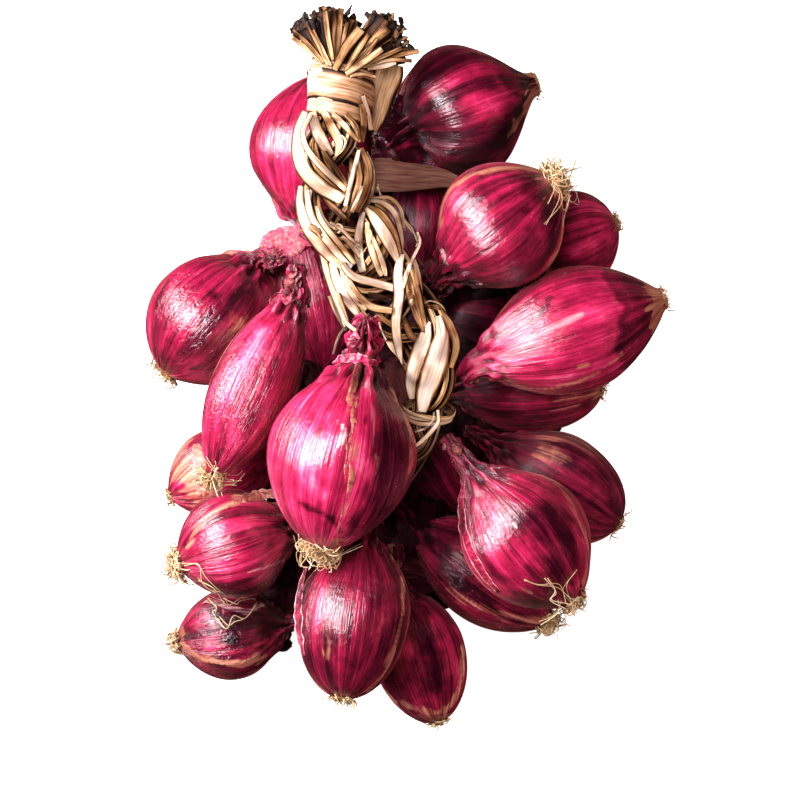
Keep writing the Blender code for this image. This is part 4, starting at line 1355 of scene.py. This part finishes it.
# Straps of leaf on the plait: lift in mm, tone, how burnt, and the middle and half width in pixels.
STRAPS = (
    (0.3, 0.95, 0.0, ((306, 112, 5), (300, 128, 6), (298, 150, 7), (304, 170, 8), (320, 186, 8),
                      (343, 200, 6))),
    (0.8, 0.85, 0.0, ((311, 114, 3), (303, 132, 3), (308, 150, 3.5), (325, 170, 4), (346, 190, 3))),
    (0.6, 0.40, 0.1, ((318, 142, 2), (328, 158, 3.5), (340, 175, 3.5), (347, 186, 2))),
    (0.7, 0.95, 0.0, ((296, 128, 2), (294, 150, 2.5), (300, 172, 3), (316, 190, 3), (340, 202, 2.5))),
    (0.9, 0.90, 0.0, ((312, 112, 5), (316, 128, 6.5), (324, 144, 6.5), (332, 155, 3))),
    (1.1, 0.80, 0.0, ((324, 112, 4), (332, 128, 5.5), (339, 142, 5), (336, 156, 2))),
    (1.3, 0.95, 0.0, ((329, 130, 1), (344, 138, 1.2), (344, 148, 1.4), (334, 158, 0.8))),
    (1.2, 0.70, 0.0, ((333, 114, 3.5), (345, 126, 3.5), (358, 141, 2))),
    (0.9, 0.45, 0.1, ((345, 114, 3), (355, 126, 3.5), (360, 142, 2.5))),
    (0.8, 0.50, 0.1, ((362, 104, 3.5), (364, 122, 4), (362, 142, 3))),
    (1.0, 0.95, 0.0, ((363, 96, 2.4), (368, 112, 2.6), (371, 130, 2.6))),
    (1.0, 0.20, 0.1, ((371, 130, 2.8), (375, 142, 2.6), (375, 152, 2))),
    (0.4, 0.45, 0.1, ((361, 148, 3), (368, 168, 5), (366, 190, 5), (356, 212, 4))),
    (0.8, 0.70, 0.0, ((366, 152, 2), (373, 172, 3), (370, 196, 3.5), (360, 216, 3))),
    (0.7, 0.40, 0.15, ((358, 160, 3), (359, 180, 4), (354, 200, 4), (349, 214, 3))),
    (1.2, 0.88, 0.0, ((362, 186, 2), (357, 200, 3), (352, 212, 2.5))),
    (1.8, 1.05, 0.0, ((359, 150, 2.2), (352, 178, 2.4), (345, 206, 2.4))),
    (0.3, 0.90, 0.0, ((301, 186, 3), (300, 205, 5), (308, 228, 6.5), (325, 250, 7), (345, 268, 5))),
    (0.7, 1.00, 0.0, ((307, 190, 2.5), (310, 212, 4), (322, 234, 4.5), (340, 256, 4), (350, 266, 2))),
    (0.9, 0.75, 0.0, ((316, 206, 2), (322, 222, 3), (338, 242, 3.5), (355, 264, 2.5))),
    (0.5, 0.20, 0.1, ((322, 196, 2.5), (334, 208, 4), (349, 222, 3))),
    (1.0, 0.45, 0.2, ((309, 226, 3.5), (317, 231, 4), (322, 238, 2))),
    (1.1, 0.90, 0.0, ((330, 222, 1.5), (342, 230, 2), (352, 240, 2), (360, 246, 1))),
    (0.8, 0.85, 0.0, ((342, 236, 2), (352, 246, 3), (360, 258, 2))),
    (0.4, 0.50, 0.1, ((366, 206, 3), (380, 214, 5), (392, 232, 6), (398, 254, 5))),
    (0.9, 1.00, 0.0, ((366, 208, 2.5), (377, 222, 6), (389, 242, 7), (398, 262, 3))),
    (1.2, 0.80, 0.0, ((368, 200, 2), (383, 203, 3), (395, 214, 3.5), (401, 234, 3), (402, 252, 2))),
    (0.8, 0.70, 0.0, ((371, 198, 1.5), (390, 198, 2), (401, 210, 2), (404, 228, 1.5))),
    (1.0, 1.02, 0.0, ((363, 212, 3), (359, 234, 4.5), (359, 256, 5), (363, 272, 4.5))),
    (0.7, 0.75, 0.0, ((367, 222, 2.5), (369, 242, 3.5), (376, 262, 4), (382, 276, 3))),
    (0.9, 0.95, 0.0, ((369, 230, 2), (378, 250, 2.5), (384, 268, 3), (386, 276, 1.5))),
    (0.9, 0.35, 0.2, ((386, 256, 2), (390, 266, 2.5), (392, 276, 2))),
    (0.3, 0.80, 0.0, ((322, 250, 3), (327, 272, 4), (338, 300, 5), (347, 326, 4))),
    (0.6, 1.00, 0.0, ((331, 258, 3), (336, 278, 5.5), (347, 298, 6.5), (358, 314, 4))),
    (0.9, 0.85, 0.0, ((340, 262, 2), (345, 282, 3), (356, 300, 3), (366, 310, 2))),
    (0.5, 0.65, 0.0, ((343, 268, 2), (354, 290, 4), (370, 306, 4.5), (392, 311, 4))),
    (0.9, 0.25, 0.2, ((368, 294, 2), (380, 297, 3.5), (391, 301, 3))),
    (1.0, 0.90, 0.0, ((337, 302, 2), (346, 322, 2.5), (356, 331, 2))),
    (0.9, 0.85, 0.0, ((329, 296, 2), (337, 314, 2.5), (346, 330, 2))),
    (1.6, 1.05, 0.0, ((343, 265, 3.5), (353, 276, 4.5), (372, 282, 4.5), (394, 288, 4.5))),
    (0.3, 0.45, 0.1, ((408, 262, 4), (414, 284, 6), (419, 306, 6), (424, 328, 4))),
    (0.7, 0.70, 0.0, ((413, 256, 2), (418, 276, 3.5), (420, 300, 3.5), (421, 318, 2))),
    (0.8, 0.50, 0.15, ((406, 276, 2), (410, 296, 4), (417, 316, 3.5), (424, 332, 2))),
    (1.0, 0.90, 0.0, ((409, 290, 1.5), (413, 306, 2.2), (420, 320, 1.5))),
    (0.6, 0.45, 0.1, ((404, 318, 3), (410, 334, 4), (418, 340, 3))),
    (2.0, 1.06, 0.0, ((402, 254, 3.5), (398, 272, 5.2), (399, 296, 5.5), (396, 322, 5),
                      (398, 346, 4.5), (402, 364, 0.8))),
    (1.6, 0.95, 0.0, ((418, 232, 0.8), (420, 243, 1.6), (413, 258, 2), (406, 276, 2.6), (403, 288, 2))),
    (0.8, 0.55, 0.05, ((440, 310, 3), (450, 326, 5), (456, 346, 5), (451, 368, 3))),
    (0.6, 0.40, 0.1, ((426, 306, 2), (438, 308, 3), (447, 318, 3))),
    # These two lower flaps have a tone above the rest, painted light on flaps that lie in the shade of the
    # front onion.
    (1.2, 1.08, 0.0, ((430, 322, 1.5), (424, 340, 8), (416, 362, 8.5), (411, 382, 6.5), (412, 399, 3.5))),
    (1.6, 1.12, 0.0, ((438, 316, 3), (442, 334, 7.5), (438, 354, 11), (432, 374, 12),
                      (425, 394, 9), (422, 412, 5))),
    (1.0, 0.80, 0.0, ((438, 410, 2), (438, 422, 2.2), (430, 433, 2.4), (416, 446, 2))),
    (1.3, 1.00, 0.0, ((434, 412, 1.2), (433, 420, 1.4), (426, 428, 1.4), (415, 432, 1.2))),
    (0.8, 0.90, 0.0, ((345, 326, 1.2), (338, 338, 1.6), (333, 354, 1.2))),
)

# Frayed fibres: height above what is below in mm, tone, and the line in pixels.
FRAYS = (
    (1.6, 0.75, ((377, 187), (385, 200), (398, 205), (405, 220), (412, 228), (418, 243))),
    (1.8, 0.90, ((378, 184), (381, 196), (388, 203))),
    (1.4, 0.60, ((401, 212), (408, 226), (420, 240))),
    (1.2, 0.80, ((417, 232), (419, 240), (416, 247))),
    (1.0, 0.95, ((424, 304), (430, 301), (441, 305), (448, 318))),
    (1.0, 0.60, ((308, 226), (298, 232))),
    (1.2, 0.85, ((334, 228), (338, 224), (343, 228), (338, 233))),
    (1.5, 0.90, ((379, 322), (382, 332), (386, 340))),
)


def plait_straps():
    """The single leaves that lie on top of the plait, each where the photo shows one."""
    tree = ray_tree(strands + [tie, binding] + [bulb.heap for bulb in bulbs.values()])
    chance = np.random.RandomState(31)
    heap = Heap()
    for k, (lift, tone, burnt, rows) in enumerate(STRAPS):
        wide = max(row[2] for row in rows)
        draped(heap, tree, rows, lift + 0.2, chance, steps=12 + 5 * len(rows), points=9, bow=0.10 * wide,
               drop=10.0, tone=tone, burnt=burnt, seed=k * 1.9)
    for lift, tone, pixels in FRAYS:
        rows = [(px, py, 1.0) for px, py in pixels]
        draped(heap, tree, rows, lift, chance, thickness=0.6, steps=20, points=3, smooth=12, drop=5.0,
               tone=tone, burnt=0.0, seed=lift)
    heap.piece("plait_straps", BAND, "dried_leaf")


# Cut leaves in front: lift in mm, tone, burnt at the end, and the middle and half width in pixels.
CUT_FRONT = (
    (0.5, 0.80, 0.3, ((322, 62, 2), (306, 48, 2.5), (292, 37, 2.5))),
    (0.9, 0.45, 0.2, ((324, 63, 2), (308, 44, 2.5), (293, 30, 2.2))),
    (0.8, 0.75, 0.6, ((328, 66, 1.5), (316, 42, 1.6), (306, 22, 1.6))),
    (1.0, 0.80, 0.5, ((331, 66, 1.6), (321, 46, 1.8), (313, 30, 1.8))),
    (0.8, 0.70, 0.5, ((333, 60, 1.8), (328, 36, 3), (325, 11, 3.2))),
    (0.8, 0.85, 0.4, ((337, 62, 1.8), (339, 36, 3), (341, 8, 3.2))),
    (1.0, 0.80, 0.5, ((339, 64, 1.8), (343, 42, 2.4), (347, 22, 2.6))),
    (1.3, 0.62, 0.0, ((335, 70, 3.5), (346, 48, 5.5), (361, 29, 6))),
    (1.0, 0.55, 0.2, ((346, 70, 2.5), (358, 50, 3.6), (368, 34, 3.2))),
    (1.0, 0.70, 0.4, ((350, 70, 2), (366, 54, 2.8), (378, 38, 2.4))),
    (1.2, 0.80, 0.1, ((346, 74, 3), (364, 62, 4), (382, 49, 3.6))),
    (0.8, 0.60, 0.3, ((362, 67, 2), (384, 56, 2.6), (402, 48, 2.6))),
    (0.9, 0.75, 0.5, ((365, 67, 1.6), (390, 60, 2.2), (412, 61, 2.0))),
    (1.2, 0.95, 0.0, ((368, 69, 1.5), (382, 66, 3.6), (396, 63, 1.8))),
    (0.8, 0.45, 0.1, ((385, 60, 2), (404, 54, 2.8), (419, 51, 2.6))),
    (1.0, 0.70, 0.0, ((350, 76, 2), (362, 74, 2), (376, 77, 1.6))),
)


def cut_front():
    """The broad cut leaves on the side that faces up, drawn over the rest of the bunches."""
    tree = ray_tree(bunches + [tie])
    chance = np.random.RandomState(77)
    heap = Heap()
    steps, points = 22, 7
    for k, (lift, tone, burnt, rows) in enumerate(CUT_FRONT):
        wide = max(row[2] for row in rows)
        burnt = np.repeat(burnt * ease(np.linspace(0, 1, steps), 0.5, 1.0), 2 * points)
        draped(heap, tree, rows, lift, chance, steps=steps, points=points, bow=0.12 * wide, smooth=3,
               drop=7.0, tone=tone, burnt=burnt, seed=k * 2.1)
    heap.piece("cut_leaves_front", CUT, "cut_leaf")


plait_straps()
cut_front()

# Old papery skin lying on the onions: the onion below, lift in mm, its look and form, how pale its rim is,
# and rows of the middle and half width in pixels.
PEELS = (
    ("front_middle", 0.2, dict(tone=0.60, dry=0.0, rust=0.2, drop=6.0), 0.6,
     ((333, 364, 1.5), (341, 359, 3.5), (352, 358, 4.5), (364, 360, 4.5), (378, 364, 2))),
    ("front_right", 0.2, dict(tone=0.55, dry=0.0, rust=0.3), 0.8,
     ((464, 478, 1), (461, 505, 3), (465, 535, 4), (478, 566, 4), (498, 592, 2))),
    ("bottom_front", 0.3, dict(tone=0.55, dry=0.1, rust=0.3), 1.0,
     ((306, 566, 1), (300, 590, 3), (298, 616, 4), (300, 640, 3), (304, 656, 1))),
    ("front_middle", 0.0, dict(tone=0.50, dry=0.62, rust=0.3, ragged=0.9, bow=0.0), 0.2,
     ((361, 366, 1.5), (354, 382, 3.0), (350, 408, 3.6), (352, 430, 4.4), (349, 455, 3.2), (348, 478, 3.8),
      (345, 505, 2.4), (341, 522, 2.0), (337, 545, 1.0))),
    ("left_inner", 0.5, dict(tone=0.75, dry=0.0, rust=0.45, ragged=0.06, bow=0.8, crinkled=0.2), 0.4,
     ((262, 252, 5), (270, 245, 12), (284, 242, 16), (298, 240, 14), (310, 240, 6))),
    ("left_under", 0.4, dict(tone=0.6, dry=0.1, rust=1.0), 0.7,
     ((196, 444, 3), (200, 462, 7), (206, 480, 8), (200, 496, 4))),
    ("left_lower", 0.3, dict(tone=0.5, dry=0.5, rust=0.6), 0.8,
     ((228, 506, 1), (246, 498, 4), (266, 494, 5), (284, 494, 2))),
)


def torn_skins():
    """Loose outer skins with torn pale edges."""
    heap = Heap()
    chance = np.random.RandomState(55)
    for k, (name, lift, fields, rim, rows) in enumerate(PEELS):
        more = {"bow": 0.25, "ragged": 0.30, "crinkled": 0.8, **fields}
        draped(heap, ray_tree([bulbs[name].heap]), rows, lift, chance, thickness=0.2, steps=40, points=11,
               scale=bulbs[name].radius * 0.9, rim=rim, low=20.0, smooth=3, pale=0.0, seed=k + 0.5, **more)
    heap.piece("torn_skins", SKIN, "onion_skin")


torn_skins()

# Long loose rootlets that lie over the onions, as lines in pixels.
LOOSE_ROOTLETS = (
    ((198, 575), (211, 588), (219, 597), (227, 602)), ((208, 600), (216, 607), (214, 616), (222, 623)),
    ((219, 620), (229, 626), (237, 620), (246, 618), (256, 604)),
    ((224, 600), (233, 607), (243, 600), (256, 599)),
    ((169, 559), (179, 581), (198, 591), (224, 602)), ((185, 560), (200, 566), (206, 580), (220, 590)),
    ((522, 582), (541, 585), (560, 588), (567, 601), (580, 599)), ((560, 601), (557, 614), (538, 623)),
    ((575, 569), (567, 588), (575, 607), (568, 618)), ((545, 578), (556, 590), (552, 602), (566, 610)),
    ((538, 163), (554, 169), (570, 182), (578, 203), (568, 198)), ((557, 180), (560, 200), (546, 224)),
    ((563, 186), (567, 200), (559, 221)), ((550, 172), (563, 184), (572, 196)),
    ((294, 533), (304, 549), (330, 562), (342, 552), (362, 544)),
    ((300, 536), (318, 548), (322, 566), (338, 560)),
    ((205, 458), (216, 472), (232, 478), (246, 470)), ((212, 462), (224, 482), (240, 484)),
)


def loose_rootlets():
    """Rootlets that have come away from their onions or reach far over them."""
    tree = ray_tree([bulb.heap for bulb in bulbs.values()])
    chance = np.random.RandomState(88)
    heap = Heap()
    steps = 30
    arch = np.sin(np.linspace(0, math.pi, steps))
    for pixels in LOOSE_ROOTLETS:
        for _ in range(2):
            spots = curve(np.array(pixels, float) + chance.normal(0, 2.4, (len(pixels), 2)), steps)
            ways, found = depths(tree, spots, CAMERA_HEIGHT - 45.0)
            found = np.minimum(found, found.min() + 8.0)
            for _ in range(8):
                wide = np.pad(found, 1, mode="edge")
                found = np.minimum(found, (wide[:-2] + wide[2:]) / 2)
            lift = chance.uniform(0.4, 0.9) + chance.uniform(0.2, 1.6) * arch
            shade = chance.uniform(0.45, 1.0)
            thread(heap, EYE + ways * (found - lift)[:, None], np.linspace(0.18, 0.10, steps), 4,
                   tone=np.linspace(shade * 0.8, shade, steps))
    heap.piece("loose_rootlets", FIBRE, "root_fibre")


loose_rootlets()

# Two loose dark skins under the top right onion, which also paint the shade of its underside: lift, how
# ragged, how low they may lie, tone, seed, and rows of the middle and half width in pixels.
HANGING = (
    (-0.6, 0.15, 30.0, 0.26, 2.2,
     ((370, 154, 4), (386, 154, 8), (404, 156, 12), (420, 163, 12), (440, 170, 9), (458, 172, 4))),
    (-0.3, 0.10, 32.0, 0.24, 4.2,
     ((373, 160, 5), (379, 146, 9), (385, 130, 10), (392, 112, 9), (399, 94, 5))),
)


def hanging_skin():
    """Loose dark skins that hang under the top right onion, partly loose skin and partly painted shade of its
    underside.
    """
    heap = Heap()
    bulb = bulbs["top_right"]
    tree = ray_tree([bulb.heap])
    for k, (lift, ragged, low, tone, seed, rows) in enumerate(HANGING):
        chance = np.random.RandomState(21 + k)
        draped(heap, tree, rows, lift, chance, steps=40, points=11, bow=0.5, ragged=ragged, scale=bulb.radius,
               low=low, smooth=8, tone=tone, dry=0.05, rust=0.1, pale=0.0, crinkled=1.0, seed=seed)
    heap.piece("hanging_skin", SKIN, "onion_skin")


hanging_skin()

# Dark leaf between the onions, painted shade in the gaps: middle in pixels, height and half size in mm.
BETWEEN = (
    (400, 560, 14, 24), (435, 505, 16, 22), (415, 615, 10, 16), (470, 545, 12, 20), (520, 428, 12, 18),
    (500, 468, 14, 22), (400, 400, 20, 22), (350, 420, 20, 20), (305, 375, 20, 16), (268, 475, 14, 14),
    (285, 520, 14, 16), (285, 600, 12, 14), (300, 560, 14, 16), (280, 635, 8, 10), (455, 350, 20, 18),
    (470, 300, 20, 20), (440, 250, 20, 18), (415, 200, 18, 16), (540, 418, 10, 14), (510, 585, 8, 14),
    (560, 300, 12, 14), (330, 300, 20, 18), (300, 300, 18, 14), (430, 635, 8, 10), (370, 640, 8, 14),
    (250, 425, 12, 10), (450, 450, 16, 20), (380, 480, 16, 20), (345, 235, 20, 14), (385, 130, 16, 8),
)

# Broad dark skins low in the gaps, painted shade where the floor would show: middle in pixels, height and half
# size in mm.
LOW_SKINS = (
    (387, 271, 12, 13), (341, 234, 14, 12), (514, 290, 14, 13), (389, 516, 10, 12), (405, 532, 8, 12),
    (292, 583, 8, 9), (483, 427, 12, 12), (303, 363, 14, 11), (410, 300, 14, 14), (425, 345, 14, 14),
    (455, 330, 14, 13), (440, 280, 14, 12), (360, 300, 16, 12), (370, 350, 16, 12), (450, 480, 10, 13),
    (430, 580, 6, 13), (400, 600, 6, 10), (395, 460, 12, 12), (405, 180, 12, 11), (430, 210, 12, 12),
    (376, 197, 12, 9), (276, 268, 10, 8), (484, 455, 12, 11), (454, 513, 10, 11), (542, 294, 14, 11),
    (460, 376, 16, 9), (458, 410, 14, 9),
)

# The dark leaf, in the look that paints shade in the gaps, that lies across the gap between the two top
# onions, in pixels.
ACROSS_GAP = (
    (352, 182, 13), (370, 176, 17), (386, 175, 17), (402, 177, 15),
    (420, 177, 13), (440, 178, 10), (460, 182, 5),
)


def low_skins(heap):
    """Broad bowed dark skins, one low in each gap, as painted shade."""
    t = np.linspace(-1, 1, 16)
    for k, (px, py, height, size) in enumerate(LOW_SKINS):
        chance = np.random.RandomState(700 + k)
        heading = chance.uniform(0, TAU)
        way = np.array((math.cos(heading), math.sin(heading), 0.0))
        line = pixel_to_plane(px, py, height) + way * (size * 1.1 * t)[:, None]
        half = size * (0.75 + 0.15 * np.sin(3 * t + k)) * np.sqrt(np.maximum(1.02 - t ** 2, 0.02))
        leaf(heap, line, (0.1, 0.1, 1), half, 0.5, bow=1.5, ridges=1.2, chance=chance, points=12,
             tone=0.25 + 0.02 * (k % 7), seed=k * 2.3)


# The lowest and highest that the middle of a crumpled leaf lies between the onions, in mm.
LOWEST, HIGHEST = 3.0, 34.0
LEAVES_A_GAP = 5


def crumpled_leaves(heap):
    """Short dark leaves that lie any way in the gaps, as painted shade."""
    t = np.linspace(-1, 1, 5)[:, None]
    for k, (px, py, height, size) in enumerate(BETWEEN):
        chance = np.random.RandomState(500 + k)
        middle = pixel_to_plane(px, py, height)
        for n in range(LEAVES_A_GAP):
            heading = chance.uniform(0, TAU)
            way = np.array((math.cos(heading), math.sin(heading), chance.uniform(-0.15, 0.15)))
            place = middle + chance.uniform(-0.35, 0.35, 3) * (size, size, 8)
            reach = size * chance.uniform(0.35, 0.65)
            line = curve(place + way * reach * t + chance.normal(0, 0.10 * reach, (5, 3)), 14)
            line[:, 2] = np.clip(line[:, 2], LOWEST, HIGHEST)
            facing = unit(UP + chance.normal(0, 0.30, 3))
            half = size * chance.uniform(0.24, 0.42) * np.sin(np.linspace(0.25, math.pi - 0.25, 14))
            bow = half * chance.uniform(-0.3, 0.6)
            leaf(heap, line, facing, half, 0.5, bow=bow, ridges=0.6, chance=chance, points=8,
                 tone=chance.uniform(0.0, 0.55), seed=k * 1.1 + n)


def between_onions():
    """Skins and leaf in the gaps, dark and matt: painted shade where the floor would show between the onions.
    """
    heap = Heap()
    low_skins(heap)
    crumpled_leaves(heap)
    tree = ray_tree([bulbs[name].heap for name in ("inner_right", "top_right")])
    draped(heap, tree, ACROSS_GAP, 0.6, np.random.RandomState(9), steps=30, points=11, low=30.0, tone=0.84,
           seed=3.3)
    heap.piece("shade_filling_leaves", SHADE_LEAF, "dried_leaf")


between_onions()

# Half the floor's side in metres.
FLOOR = 4
WHITE = (1.0, 1.0, 1.0)


def floor():
    """The pale floor, which throws no light on the onions."""
    mesh = bpy.data.meshes.new("floor")
    corners = [(-FLOOR, -FLOOR, 0), (FLOOR, -FLOOR, 0), (FLOOR, FLOOR, 0), (-FLOOR, FLOOR, 0)]
    mesh.from_pydata(corners, [], [(0, 1, 2, 3)])
    look = Look("floor_white", 0.6, specular=0.1)
    look.set("Base Color", (0.9, 0.9, 0.9, 1.0))
    look.set("Emission Color", (*WHITE, 1.0))
    look.set("Emission Strength", 0.85)
    mesh.materials.append(look.material)
    thing = placed("floor", mesh)
    thing.visible_glossy = False
    thing.visible_diffuse = False


# The lamps, in metres and watts: place, the place they face, side of the square, power, colour, and whether
# they show in the gloss.
LAMPS = {
    "key": ((-0.70, 0.22, 0.56), (0, 0, 0.05), 0.60, 29.0, WHITE, True),
    "above": ((-0.20, 0.35, 1.3), (0, 0, 0), 0.5, 12.0, WHITE, False),
    "fill": ((0.9, -0.3, 0.5), (0, 0, 0.04), 0.5, 7.0, (1.0, 0.84, 0.78), False),
}
AMBIENT = 0.16


def lamp(name, place, at, size, power, colour, shines):
    """A soft square lamp that faces a place."""
    data = bpy.data.lights.new(name, "AREA")
    data.shape = "SQUARE"
    data.size = size
    data.energy = power
    data.color = colour
    thing = placed(name, data)
    thing.location = place
    thing.rotation_euler = (Vector(at) - Vector(place)).to_track_quat("-Z", "Y").to_euler()
    thing.visible_glossy = shines


floor()
for name, row in LAMPS.items():
    lamp(name, *row)

world = bpy.data.worlds.new("studio")
world.use_nodes = True
background = world.node_tree.nodes["Background"]
background.inputs["Color"].default_value = (*WHITE, 1.0)
background.inputs["Strength"].default_value = AMBIENT
world.cycles_visibility.glossy = False
bpy.context.scene.world = world

SENSOR = 36.0
camera = placed("camera", bpy.data.cameras.new("camera"))
camera.data.sensor_width = SENSOR
camera.data.lens = SENSOR * (CAMERA_HEIGHT - PLANE) / SPAN
camera.data.clip_start, camera.data.clip_end = 0.05, 20.0
camera.location = EYE * MM
bpy.context.scene.camera = camera
bpy.context.scene.view_settings.view_transform = "Standard"
